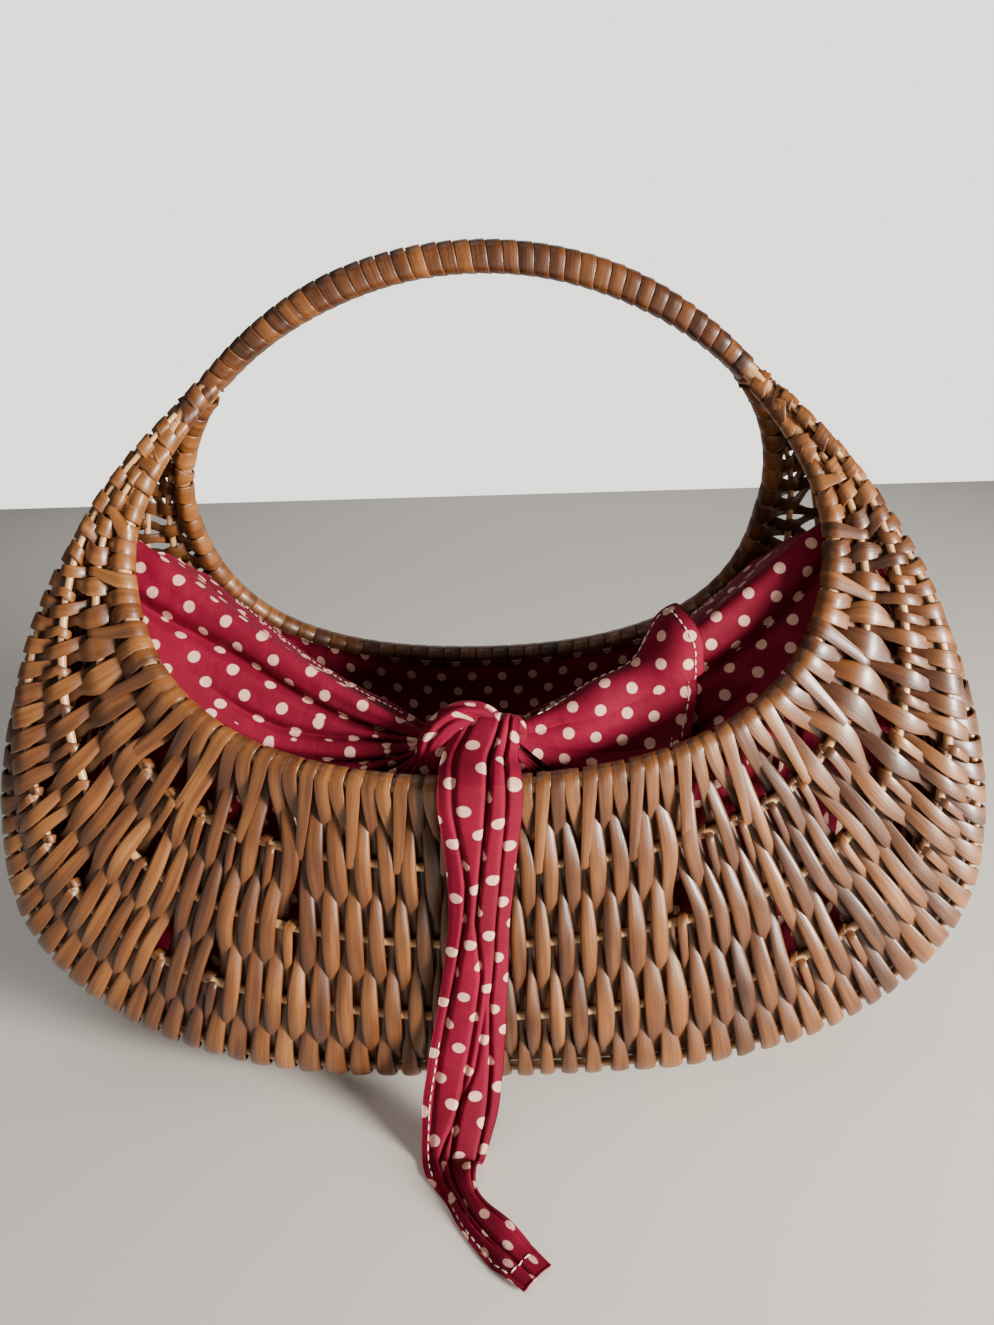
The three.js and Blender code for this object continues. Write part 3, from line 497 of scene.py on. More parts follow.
rim_rings = 240
handle_rings = 119
hoop_shares = np.linspace(0, 1, rim_rings)
handle_shares = np.linspace(1, 0, handle_rings + 2)[1:-1]
swell = smooth(from_end(handle_shares), 0, handle_swell_share)
rim_radii = np.full(len(hoop_shares), hoop_rod_radius)
hoop_heights = np.concatenate([rim_radii, between(hoop_rod_radius, handle_rod_half_height, swell)])
hoop_widths = np.concatenate([rim_radii, np.full(len(handle_shares), handle_rod_half_width)])
for side, node in ((-1, "front_hoop"), (1, "back_hoop")):
    rim_part = on_wall(hoop_shares, side * rim_index)[0]
    handle_part = hoop_point(side, along_chain(handle_line, handle_shares))
    hoop = rod(f"{node}_rod", np.concatenate([rim_part, handle_part]), hoop_heights, hoop_widths,
               3 + side, closed=True)
    stand_for(hoop, node)


def rib_start(index):
    return rib_starts["keel" if index == 0 else "long" if index % 2 == 0 else "short"]


def rib_radius_at(share):
    return between(rib_end_radius, rib_radius, smooth(from_end(share), 0, rib_taper_share))


for index in range(1 - rim_index, rim_index):
    start = rib_start(index)
    shares = np.linspace(start, 1 - start, rib_rings)
    radii = rib_radius_at(shares)
    number = f"{index + rim_index:02d}"
    rib = rod(f"rib_rod_{number}", on_wall(shares, index)[0], radii, radii, 20 + index)
    stand_for(rib, f"rib_{number}")

# ---------------------------------------------------------------------------------------
# Weaving strands
# Long skeins of split willow, damp when they are woven. Each goes to and fro from rim to
# rim, over one rib and behind the next, with a turn round the rim at each end. Short rows
# that turn at a rib fill the fans of the lower corners.
full_pairs = 58
pair_pitch = 10.3 * MM
least_pair_pitch = 6.4 * MM
most_short_pairs = 2
strand_thickness = 2.1 * MM
band_thickness = 1.25 * MM
strand_clear = 0.15 * MM
settle_passes = 6
row_wander = 0.045
# Widths over a rib as shares of the room of a pair: flat straps near the poles, leaves between
# them, broader ones where the rows fan out, and the bands round the rims
strap_share = 0.60
leaf_share = 0.70
corner_leaf_share = 0.83
short_end_share = 0.5
band_share = 0.97
strap_shares = (0.24, 0.38)
corner_shares = (0.14, 0.20, 0.40, 0.47)
# Bands round the front rim for two pairs of rows, as shares of their room: the first pair
# turns once and the second makes a long turn with a band at both its ends
front_turns = np.array([(0.12, 0.21), (5 / 12, 11 / 12)])
front_bands_per_pair = 1.5
# A long turn leaves the rim, rounds the first rib and comes back at these shares of its way
long_turn_stages = (0.12, 0.42, 0.78)
long_turn_thin_share = 0.6
back_turn_edge = 0.04
# Where a leaf is narrow, down the wall from one rib to the next: the upper end is a tip, the
# lower end a waist; beside a rim the strand narrows close to its turn
tip_share, tip_place = 0.34, 0.3
waist_share, waist_place = 0.58, 0.62
corner_narrow_share = 0.6
strap_waist_share = 0.52
leaf_swell = 1.36
turn_place = 0.15
ring_pitch = 2.6 * MM
fewest_rings, most_rings = 5, 12
rings_per_lap = 8
table_clear = 0.1 * MM
draw = np.random.default_rng(41)

# Length along each hoop and rib, at every row of the wall's grid
marks_of = {
    index: way_along(wall_grid[:, (index + rim_index) * wall_columns_per_rib])
    for index in range(-rim_index, rim_index + 1)
}


def room_between(index, start, end):
    low, high = np.interp([start, end], wall_shares, marks_of[index])
    return high - low


# Pairs of rows: share of the way, first and last hoop or rib, and the number of a full pair
full_shares = np.interp((np.arange(full_pairs) + 0.5) / full_pairs, wall_spread[:, 0], wall_shares)
pairs = []
full_order = []
for number, share in enumerate(full_shares):
    full_order.append(len(pairs))
    pairs.append((share, -rim_index, rim_index, number))
    if number == full_pairs - 1:
        break
    after = full_shares[number + 1]
    fitting = round(room_between(0, share, after) / pair_pitch) - 1
    short_count = int(np.clip(fitting, 0, most_short_pairs))
    for order in range(short_count):
        reach = []
        for side in (-1, 1):
            wide_enough = [
                i for i in range(1, rim_index)
                if room_between(side * i, share, after) / (order + 2) >= least_pair_pitch
            ]
            reach.append(max(wide_enough, default=0))
        if min(reach) >= 1:
            part = (order + 1) / (short_count + 1)
            pairs.append((between(share, after, part), -reach[0], reach[1], None))


def settle(values, passes):
    """Evens out a line of values or points between its ends."""
    for _ in range(passes):
        values[1:-1] = (values[:-2] + 2 * values[1:-1] + values[2:]) / 4


# Where the two rows of each pair cross each hoop or rib, and the room of the pair there
row_places = {}
for index in range(-rim_index, rim_index + 1):
    here = [p for p, (_, front, back, _) in enumerate(pairs) if front <= index <= back]
    middle = np.interp([pairs[p][0] for p in here], wall_shares, marks_of[index])
    if abs(index) < rim_index:
        settle(middle, settle_passes)
    edges = (middle[1:] + middle[:-1]) / 2
    edges = np.concatenate([[2 * middle[0] - edges[0]], edges, [2 * middle[-1] - edges[-1]]])
    for order, p in enumerate(here):
        start, end = edges[order:order + 2]
        cell = end - start
        wander = draw.uniform(-row_wander, row_wander, 2) * cell
        rows = (start + 0.25 * cell + wander[0], start + 0.75 * cell + wander[1])
        if index == rim_index:
            rows = (start + back_turn_edge * cell, end - back_turn_edge * cell)
        elif index == -rim_index:
            first = order - order % 2
            last = min(first + 2, full_pairs)
            rows = between(edges[first], edges[last], front_turns[order % 2])
        row_places[p, index] = (*np.interp(rows, marks_of[index], wall_shares), cell)


def rise_and_fall(value, start, full, wane, end):
    return smooth(value, start, full) * (1 - smooth(value, wane, end))


def strand_reach(index, share):
    """Distance from the middle of a hoop or rib to the middle of a strand that lies on it."""
    radius = np.where(np.abs(index) == rim_index, hoop_rod_radius, rib_radius_at(share))
    return radius + strand_thickness / 2 + strand_clear


def lay(path, place, across, face, *facts):
    """Adds rings to a strand: place, direction across and face, then for each ring its width,
    thickness, roll, how far it dives behind a rib, and tone."""
    path.append(np.column_stack([place, across, face, together(place[:, 0], *facts)[:, 1:]]))


def lay_row(path, p, row, tone):
    """One row from rim to rim, or between the ribs at which a short row turns. The first row
    of a pair is laid from back to front outside both rims, the second one back inside them."""
    _, front, back, number = pairs[p]
    stations = []
    for index in range(front, back + 1):
        share, cell = row_places[p, index][row], row_places[p, index][2]
        start = 0 if abs(index) == rim_index else rib_start(index)
        if start < share < 1 - start:
            stations.append((index, share, cell))
    outside = [(order + rim_index + front) % 2 == row for order in range(len(stations))]
    index, share, cell = np.array(stations).T
    near_pole = from_end(share)
    inward = smooth(near_pole, *strap_shares)
    fans = rise_and_fall(near_pole, *corner_shares)
    part = between(between(strap_share, leaf_share, inward), corner_leaf_share, fans)
    part = part * draw.uniform(0.92, 1.08, len(stations))
    if number is None:
        part[[0, -1]] = short_end_share
    bands_per_pair = np.where(index == rim_index, 1, front_bands_per_pair)
    wide = np.where(np.abs(index) < rim_index, part * cell, band_share * cell / bands_per_pair)
    lift = strand_reach(index, share) + draw.uniform(0, 0.3, len(stations)) * MM
    spans = []
    for k in range(len(stations) - 1):
        (i, share_i, cell_i), (j, share_j, cell_j) = stations[k:k + 2]
        ends = on_wall([share_i, share_j], [i, j])[0]
        steps = round(np.linalg.norm(ends[1] - ends[0]) / ring_pitch)
        steps = min(max(steps, fewest_rings), most_rings)
        s = np.arange(steps) / steps
        if k == len(stations) - 2:
            s = np.append(s, 1)
        sign = 1 if outside[k] else -1
        offset = between(sign * lift[k], -sign * lift[k + 1], (1 - np.cos(math.pi * s)) / 2)
        # A leaf comes up from behind a rib as a tip, is widest on its own rib, and goes down
        # blunt; where the ribs are close the strand stays flat
        if outside[k] == (j <= 0):
            narrow, narrow_at = waist_share, waist_place
        else:
            narrow, narrow_at = tip_share, tip_place
        if j > 0:
            narrow_at = 1 - narrow_at
        if abs(i) == rim_index and outside[k]:
            narrow_at = 1 - turn_place
        if abs(j) == rim_index and outside[k + 1]:
            narrow_at = turn_place
        strap_waist = strap_waist_share * min(cell_i, cell_j)
        leaf_waist = between(narrow, corner_narrow_share, fans[k]) * leaf_swell * min(wide[k:k + 2])
        waist = min(between(strap_waist, leaf_waist, inward[k]), *wide[k:k + 2])
        before = s < narrow_at
        away = np.where(before, (narrow_at - s) / narrow_at, (s - narrow_at) / (1 - narrow_at))
        end_width = np.where(before, wide[k], wide[k + 1])
        rim_part = s if abs(j) == rim_index else 1 - s if abs(i) == rim_index else 0 * s
        flatness = np.maximum(rim_part, 1 - inward[k])
        twist = draw.uniform(0.05, 0.4) * inward[k]
        spans.append(np.stack([
            between(share_i, share_j, s * s * (3 - 2 * s)),
            between(i, j, s),
            offset,
            between(waist, end_width, np.sin(math.pi / 2 * away) ** 1.1),
            between(strand_thickness, band_thickness, flatness),
            twist * np.sin(math.pi * s) + draw.uniform(-0.06, 0.06),
            np.clip(0.5 - offset / (2 * max(lift[k:k + 2])), 0, 1),
        ]))
    share, index, offset, width, thick, roll, dive = np.concatenate(spans, axis=1)
    place, along, _, normal = on_wall(share, index)
    place = place + normal * offset[:, None]
    turn = 1 if row else -1
    rings = (place, along, -turn * normal, width, thick, turn * roll, dive)
    lay(path, *(values[::turn] for values in rings), tone)


def wind(path, index, share, lift, angle, width, tone):
    """Rings of a strand round a hoop or rib; the angle goes from its outside over its upper
    side to its inside."""
    place, along, across, normal = on_wall(share, index)
    away = square_to(across * (-1 if np.min(index) < 0 else 1), along)
    radial = normal * np.cos(angle)[:, None] + away * np.sin(angle)[:, None]
    lay(path, place + radial * lift[:, None], along, radial, width, band_thickness, 0, 0, tone)


def lay_turn(path, index, start, end, laps, width, tone):
    """A turn round a hoop or rib, in half laps, from one row to the next."""
    s = np.arange(1, rings_per_lap * laps) / (rings_per_lap * laps)
    angle = laps * math.pi * (1 - s if index > 0 else s)
    share = between(start, end, s)
    wind(path, index, share, strand_reach(index, share), angle, width, tone)


def lay_long_turn(path, index, start, end, width, tone):
    """A turn that goes over the rim, down inside, round the first rib, up outside and over
    the rim again."""
    rib = index + 1
    first_end, at_rib, last_start = between(start, end, np.array(long_turn_stages))
    rim_lift, rib_lift = strand_reach(index, start), strand_reach(rib, at_rib)
    thin = long_turn_thin_share * width
    s = np.linspace(0, 1, 9)
    round_rib = np.linspace(0, 1, 7)
    # Each stage: its steps, then from where to where index, share, lift, angle and width go
    stages = [
        (s[1:], (index, index), (start, first_end), (rim_lift, rim_lift), (0, 1), (width, width)),
        (s[1:-1], (index, rib), (first_end, at_rib), (rim_lift, rib_lift), (1, 1), (width, thin)),
        (round_rib, (rib, rib), (at_rib, at_rib), (rib_lift, rib_lift), (1, 2), (thin, thin)),
        (s[1:-1], (rib, index), (at_rib, last_start), (rib_lift, rim_lift), (0, 0), (thin, width)),
        (s[:-1], (index, index), (last_start, end), (rim_lift, rim_lift), (0, 1), (width, width)),
    ]
    rings = [[between(low, high, steps) for low, high in ends] for steps, *ends in stages]
    rings[1][-1] = between(width, thin, np.sin(math.pi / 2 * s[1:-1]))
    indexes, share, lift, angle, wide = np.concatenate(rings, axis=1)
    wind(path, indexes, share, lift, math.pi * angle, wide, tone)


def section_of(side, side_high, top, top_high):
    """Twelve points round the section of a strand, one wide and one high."""
    half = together(
        (-0.5, -side, -top, 0, top, side), (0, side_high, top_high, 0.5, top_high, side_high))
    return np.concatenate([half, -half])


round_section = section_of(0.4, 0.3, 0.2, 0.46)
flat_section = section_of(0.485, 0.34, 0.44, 0.45)


def strand_skin(path, seed, tucked=0):
    """Points, faces and marks of one strand; tucked is the number of rings at both ends over
    which it is cut to a point, to go under the next one."""
    rings = np.concatenate(path)
    place, across, face = rings[:, :3], rings[:, 3:6], rings[:, 6:9]
    width, thick, roll, dive, tone = rings[:, 9:].T
    if tucked:
        order = np.arange(len(width))
        near = smooth(np.minimum(order, order[::-1]), 0, tucked)
        width = width * between(0.25, 1, near)
    tangent = unit(np.gradient(place, axis=0))
    across = square_to(across, tangent)
    normal = np.cross(tangent, across)
    normal[np.sum(normal * face, axis=1) < 0] *= -1
    cos, sin = np.cos(roll)[:, None], np.sin(roll)[:, None]
    across, normal = across * cos + normal * sin, normal * cos - across * sin
    roundness = smooth(thick, band_thickness, strand_thickness)[:, None, None]
    section = between(flat_section, round_section, roundness)
    aside = section[..., 0] * width[:, None]
    points = set_out(place, across, normal, aside, section[..., 1] * thick[:, None])
    points[..., 2] = np.maximum(points[..., 2], table_clear)
    return sweep(points, {
        "strand_place": together(way_along(place)[:, None], aside, float(seed)),
        "strand_look": together(tone[:, None], dive[:, None], np.abs(section[..., 0]) * 2),
    })


def joined(skins):
    """Points, faces and marks of several skins as one."""
    points, faces, marks = zip(*skins)
    starts = np.cumsum([0, *map(len, points)]).tolist()
    faces = [
        tuple(corner + start for corner in face)
        for start, part in zip(starts, faces) for face in part
    ]
    marks = {key: np.concatenate([part[key] for part in marks]) for key in marks[0]}
    return np.concatenate(points), faces, marks


(strand_willow, strand_fibre, strand_streak, strand_patch,
 strand_speck) = willow_finish("split_willow")
tone, dive, from_middle = strand_willow.parts(strand_willow.mark("strand_look"))
strand_value = 0.34 * strand_streak + 0.2 * strand_patch + 0.16 * strand_fibre + 0.3 * tone
strand_base = strand_willow.ramp(
    strand_value, (0.30, 35, 14, 2), (0.41, 69, 34, 8), (0.50, 99, 56, 19), (0.60, 129, 80, 35),
    (0.72, 180, 126, 74))
# Painted shade: the edges of each strand are darkened to stand for the shadowed gaps between
# neighbouring strands
strand_edge = 0.3 * (from_middle > 0.86)
with_edge_shade = strand_willow.mix(strand_edge, strand_base, colour(96, 54, 28))
# Painted shade: a strand darkens as it dives behind a rib, standing for the shade in the crevice
# there
with_dive_shade = strand_willow.mix(0.75 * dive, with_edge_shade, colour(58, 28, 12))
strand_willow.feed("Base Color", with_dive_shade)
strand_willow.feed("Roughness", 0.32 + 0.3 * strand_patch)
strand_willow.feed("Coat Weight", 0.08 + 0.4 * strand_streak)
strand_willow.bump(strand_fibre + 0.4 * strand_speck, 0.0003, 0.5)

# The rows of each strand and ear are those that its node has in the solids, where 77 rows
# stand between the ears
strand_count = 19
solid_rows = 77
first_row_share = 0.092
strand_ends = np.round(np.arange(strand_count + 1) * solid_rows / strand_count) - 0.5
strand_edges = between(first_row_share, 1 - first_row_share, strand_ends / (solid_rows - 1))
strand_names = ["left_ear", *(f"strand_{n + 1:02d}" for n in range(strand_count)), "right_ear"]
pieces = {"left_ear": [], "right_ear": []}
pieces.update({name: [] for name in strand_names[1:-1]})
for p, pair in list(enumerate(pairs))[1:-1]:
    pieces[strand_names[np.searchsorted(strand_edges, pair[0])]].append(p)

ear_tuck = 9
for seed, (node, members) in enumerate(pieces.items()):
    main, paths = [], []
    tone_value = draw.uniform(0.3, 0.7)
    for p in members:
        share, front, back, number = pairs[p]
        new_tone = between(tone_value, draw.uniform(0.1, 0.9), 0.7)
        tone_value = float(np.clip(new_tone, 0.05, 0.95))
        over_front, under_front, cell_front = row_places[p, front]
        path = [] if number is None else main
        lay_row(path, p, 0, tone_value)
        turn = (path, front, over_front, under_front)
        front_width = band_share * cell_front / front_bands_per_pair
        if number is None:
            lay_turn(*turn, 1, short_end_share * cell_front, tone_value)
        elif number % 2 and rib_starts["short"] < share < 1 - rib_starts["short"]:
            lay_long_turn(*turn, front_width, tone_value)
        else:
            lay_turn(*turn, 3 if number % 2 else 1, front_width, tone_value)
        lay_row(path, p, 1, tone_value)
        if number is None:
            paths.append(path)
        else:
            under_back, cell_back = row_places[p, back][1:]
            next_over = row_places[full_order[number + 1], back][0]
            lay_turn(path, back, under_back, next_over, 1, band_share * cell_back, tone_value)
    if main:
        paths.append(main)
    tucked = ear_tuck if node.endswith("ear") else 0
    skins = [strand_skin(path, seed + 0.37 * order, tucked) for order, path in enumerate(paths)]
    strand = new_mesh(f"{node}_willow", *joined(skins), strand_willow)
    stand_for(strand, node)

# ---------------------------------------------------------------------------------------
# Handle wrap
# One long flat skein wound round both hoops from shoulder to shoulder, each turn lying a
# little on the next, pulled tight while damp and varnished with the rest.
wrap_turns = 40
wrap_past_pole = 16
wrap_thickness = 1.3 * MM
wrap_steps = 28
wrap_end_share = 0.3 / wrap_turns
wrap_clear = 0.9 * MM
wrap_square = 0.62
wrap_angle = np.arange(wrap_turns * wrap_steps + 1) / wrap_steps * 2 * math.pi
wrap_share = between(wrap_end_share, 1 - wrap_end_share, wrap_angle / wrap_angle[-1])
wrap_line = along_chain(np.concatenate([
    rim_line[wrap_past_pole:0:-1], handle_line, rim_line[-2:-2 - wrap_past_pole:-1],
]), wrap_share)
wrap_centre = together(wrap_line[:, 0], 0, wrap_line[:, 1])
wrap_along = unit(np.gradient(wrap_centre, axis=0))
wrap_rise = np.cross(wrap_along, (0, 1.0, 0))
wrap_swell = smooth(from_end(wrap_share), 0, handle_swell_share)
wrap_high = between(hoop_rod_radius, handle_rod_half_height, wrap_swell) + wrap_clear
wrap_wide = hoop_point(1, wrap_line)[:, 1] + handle_rod_half_width + wrap_clear


def squared(wave):
    """A wave with fuller shoulders, for a winding that lies flat over two rods."""
    return np.sign(wave) * np.abs(wave) ** wrap_square


wrap_out = together(0, squared(np.cos(wrap_angle)) * wrap_wide, 0)
wrap_out = wrap_out + wrap_rise * (squared(np.sin(wrap_angle)) * wrap_high)[:, None]
wrap_pitch = way_along(wrap_centre)[-1] / wrap_turns
wrap_draw = np.random.default_rng(7)
turn_tone = np.repeat(wrap_draw.uniform(0.08, 0.5, wrap_turns + 1), wrap_steps)
turn_tilt, turn_width = (
    np.interp(wrap_angle / (2 * math.pi), np.arange(wrap_turns + 2),
              wrap_draw.uniform(low, high, wrap_turns + 2))
    for low, high in ((0.02, 0.11), (0.93, 1.0))
)
wrap_path = []
lay(wrap_path, wrap_centre + wrap_out, -wrap_along, wrap_out, wrap_pitch * turn_width,
    wrap_thickness, -turn_tilt, 0, turn_tone[:len(wrap_angle)])
handle_wrap = new_mesh("handle_wrap_willow", *strand_skin(wrap_path, 77), strand_willow)
stand_for(handle_wrap, "handle_wrap")

# ---------------------------------------------------------------------------------------
# Lining bag
# Thin crimson cotton with small pale dots, printed before it was cut. Hangs inside the
# basket in soft folds, with its hem sewn to the strands just under both rims.
cloth_thickness = 0.8 * MM
dot_pitch = 16 * MM
dot_radius = 2.3 * MM
dot_edge_share = 0.008
thread_pitch = 0.55 * MM
cotton = Finish("spotted_cotton", Roughness=0.8, Specular_IOR_Level=0.2)
cloth_place = cotton.mark("cloth_place")
along_cloth, across_cloth, _ = cotton.parts(cloth_place)


def dot_distance(shift):
    """Distance from the nearest dot of one of the two square grids, in pitches."""
    flat = cotton.vector("MULTIPLY", cloth_place, (1 / dot_pitch, 1 / dot_pitch, 0))
    part = cotton.vector("FRACTION", cotton.vector("ADD", flat, (shift, shift, 0.5)))
    off = cotton.vector("SUBTRACT", part, (0.5, 0.5, 0.5))
    return cotton.vector("LENGTH", off, result="Value")


dot_size = dot_radius / dot_pitch
dot_near = dot_distance(0.0).or_less(dot_distance(0.5))
ragged = 0.016 * (cotton.noise(cloth_place, 900, 2) - 0.5)
dot_mask = cotton.ramp(dot_near + ragged, (dot_size - dot_edge_share, 255, 255, 255),
                       (dot_size + dot_edge_share, 0, 0, 0))
cloth_patch = cotton.noise(cloth_place, 26, 3)
cloth_thread = cotton.grain(cloth_place, (260, 2600, 1), 2)
crimson = cotton.ramp(0.6 * cloth_patch + 0.4 * cloth_thread,
                      (0.25, 80, 0, 20), (0.5, 108, 0, 33), (0.75, 136, 2, 46))
cream = cotton.ramp(cloth_thread, (0.3, 200, 148, 132), (0.7, 224, 180, 164))
cotton.feed("Base Color", cotton.mix(dot_mask, crimson, cream))
thread_turns = 2 * math.pi / thread_pitch
weave = (along_cloth * thread_turns).sine(), (across_cloth * thread_turns).sine()
small_creases = cotton.grain(cloth_place, (60, 140, 1), 4)
cotton.bump(0.05 * weave[0] * weave[1] + 0.9 * small_creases, 0.0012, 0.6)
cotton.feed("Roughness", 0.72 + 0.18 * cloth_patch)


def lengths(grid, axis, start):
    """Length on the cloth along rows or columns of a grid, from a chosen line of it."""
    steps = np.linalg.norm(np.diff(grid, axis=axis), axis=2)
    first = np.zeros_like(np.take(steps, [0], axis))
    summed = np.concatenate([first, np.cumsum(steps, axis)], axis)
    return summed - np.take(summed, [start], axis)


def grid_normals(grid, facing=(0, 0, 1.0)):
    """Normals of a grid on its side towards a direction, and 1 or -1 for its sense."""
    normal = unit(np.cross(np.gradient(grid, axis=0), np.gradient(grid, axis=1)))
    sense = -1 if np.sum(normal * facing) < 0 else 1
    return normal * sense, sense


def cloth_piece(name, grid, place, seed, facing=(0, 0, 1.0)):
    """A thin closed sheet on a grid of points, with its place on the flat cloth."""
    rows, columns = grid.shape[:2]
    count = rows * columns
    normal, sense = grid_normals(grid, facing)
    half = normal * cloth_thickness / 2
    points = np.concatenate([(grid + half).reshape(-1, 3), (grid - half).reshape(-1, 3)])
    number = np.arange(count).reshape(rows, columns)
    quads = together(number[:-1, :-1], number[1:, :-1], number[1:, 1:], number[:-1, 1:])
    quads = quads.reshape(-1, 4)
    rim = np.concatenate([number[0, :-1], number[:-1, -1], number[-1, :0:-1], number[:0:-1, 0]])
    after = np.roll(rim, -1)
    sides = together(rim, after, after + count, rim + count)
    faces = [quads[:, ::sense], quads[:, ::-sense] + count, sides[:, ::-sense]]
    mark = together(place[..., 0], place[..., 1], float(seed)).reshape(-1, 3)
    marks = {"cloth_place": np.concatenate([mark, mark])}
    return new_mesh(name, points, np.concatenate(faces).tolist(), marks, cotton)


def wavy(places, waves, rng):
    """Soft uneven folds: a sum of a few waves, from -1 to 1."""
    folds = sum(
        np.cos(2 * math.pi * (count * places + rng.uniform())) * size for count, size in waves)
    return folds / sum(size for count, size in waves)


def ridge(value, middle, width):
    return np.exp(-((value - middle) / width) ** 2)


lining_depth = 5.6 * MM
lining_fold_depth = 3.2 * MM
lining_hem_depth = 0.8 * MM
lining_slack = 8 * MM
lining_edge = 5.97
lining_folds = [(17, 1.0), (29, 0.7), (9, 0.6), (41, 0.3)]
lining_columns = np.linspace(-lining_edge, lining_edge, 110)[None, :]
lining_start = between(0.135, 0.205, smooth(lining_columns, -4, 4))
lining_shares = between(lining_start, 1 - lining_start, np.linspace(0, 1, 260)[:, None])
from_keel = np.abs(lining_columns)
from_pole = from_end(lining_shares)
lining_lean = lining_shares + 0.012 * np.sin(lining_columns * 1.3)
fold = 0.5 + 0.5 * wavy(lining_lean, lining_folds, np.random.default_rng(5))
# The cloth hangs away from the wall between its hem and the base, most in the lower corners
slack = lining_slack * rise_and_fall(from_keel, 1, 2.4, 4.4, 5.7) * (
    1 + 0.5 * rise_and_fall(from_pole, 0.22, 0.28, 0.42, 0.48))
folds = lining_fold_depth * fold * between(0.45, 1, smooth(from_keel, 0.5, 4))
hem = lining_hem_depth * ridge(from_keel, lining_edge - 0.22, 0.12)
place, _, _, normal = on_wall(lining_shares, lining_columns)
lining_grid = place - normal * (lining_depth + slack + folds + hem)[..., None]
lining_place = together(lengths(lining_grid, 0, 130), lengths(lining_grid, 1, 109))
lining = cloth_piece("lining_bag_cotton", lining_grid, lining_place, 1)
stand_for(lining, "lining_bag")

# ---------------------------------------------------------------------------------------
# Closing panels
# Two three-cornered pieces of the same cotton, sewn in along the rims at each end, hemmed
# along the free edge with machine stitches, and gathered to the knot in folds that run
# together there.
thread = Finish("hem_thread", Base_Color=colour(236, 218, 200), Roughness=0.7)
thread_place = thread.mark("strand_place")
thread_tone = thread.grain(thread_place, (900, 2500, 3), 2)
thread.feed("Base Color", thread.ramp(thread_tone, (0.3, 214, 190, 170), (0.7, 244, 230, 214)))
thread.bump(thread.grain(thread_place, (5000, 1200, 3), 1), 0.0002, 0.6)
stitch_length = 2.7 * MM
stitch_gap = 1.1 * MM
stitch_radius = 0.32 * MM
stitch_rings = 5
stitch_sides = 6


def hem_stitches(name, grid, rows, columns, facing=(0, 0, 1.0)):
    """Machine stitches along a line of a cloth grid, given by row and column numbers: short
    thick stretches of thread."""
    normals = grid_normals(grid, facing)[0][rows, columns]
    line = grid[rows, columns] + normals * cloth_thickness / 2
    marks = way_along(line)
    angle = around(stitch_sides)
    skins = []
    for start in np.arange(stitch_gap, marks[-1] - stitch_length, stitch_length + stitch_gap):
        at = start + stitch_length * np.linspace(0, 1, stitch_rings)
        centre = read_line(at, marks, line)
        normal = unit(read_line(at, marks, normals))
        aside = unit(np.cross(unit(np.gradient(centre, axis=0)), normal))
        thick = stitch_radius * np.sin(math.pi * np.linspace(0.12, 0.88, stitch_rings))[:, None]
        centre = centre + 0.55 * thick * normal
        rings = set_out(centre, normal, aside, np.cos(angle) * thick, np.sin(angle) * thick)
        place = together(at[:, None], angle * stitch_radius, start)
        skins.append(sweep(rings, {"strand_place": place}))
    made = new_mesh(name, *joined(skins), thread)
    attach(made, "root")
    return made


knot_rim = hoop_point(-1, along_chain(rim_line, [0.5]))[0]
knot_centre = knot_rim + np.array((-5, 20, 13)) * MM
# The sewn edge: shares of the way along the front rim, from beside the knot, and the back rim
panel_front = (0.475, 0.132)
panel_back = (0.20, 0.25)
panel_rim_distance = 7.2 * MM
panel_rim_drop = 3 * MM
gather_width = 17 * MM
gather_side = 18 * MM
panel_sags = {-1: 17 * MM, 1: 25.5 * MM}
panel_columns = 200
panel_rows = 90
hem_share = 0.035
edge_points = 400
edge_settle_passes = 60
# Creases that run together at the knot: place along the sewn edge, width, depth in millimetres
# and the share of the way to the knot at which they begin
creases = [
    (0.05, 0.022, 5.0, -0.1), (0.15, 0.020, 6.0, -0.15), (0.24, 0.014, 3.4, 0.2),
    (0.31, 0.018, 6.0, -0.15), (0.40, 0.016, 6.6, -0.1), (0.49, 0.014, 4.4, 0.1),
    (0.585, 0.015, 7.0, -0.25), (0.70, 0.02, 5.0, -0.3), (0.84, 0.03, 4.0, -0.1),
]
# Where the cloth rolls over between the two ends, and its turned hem: place, width and height
rolls = [(0.645, 0.03, 2.2), (1 - hem_share, 0.024, 3)]


def panel_edge(side):
    """The sewn edge of a panel, from beside the knot up the front rim and down the back one."""
    chain = []
    for rim_side, ends in ((-1, panel_front), (1, panel_back)):
        shares = np.linspace(*ends, 60)
        rim = hoop_point(rim_side, along_chain(rim_line, shares if side < 0 else 1 - shares))
        chain.append(rim + (0, -rim_side * panel_rim_distance, -panel_rim_drop))
    chain = along_chain(np.concatenate(chain), np.linspace(0, 1, edge_points))
    settle(chain, edge_settle_passes)
    return chain


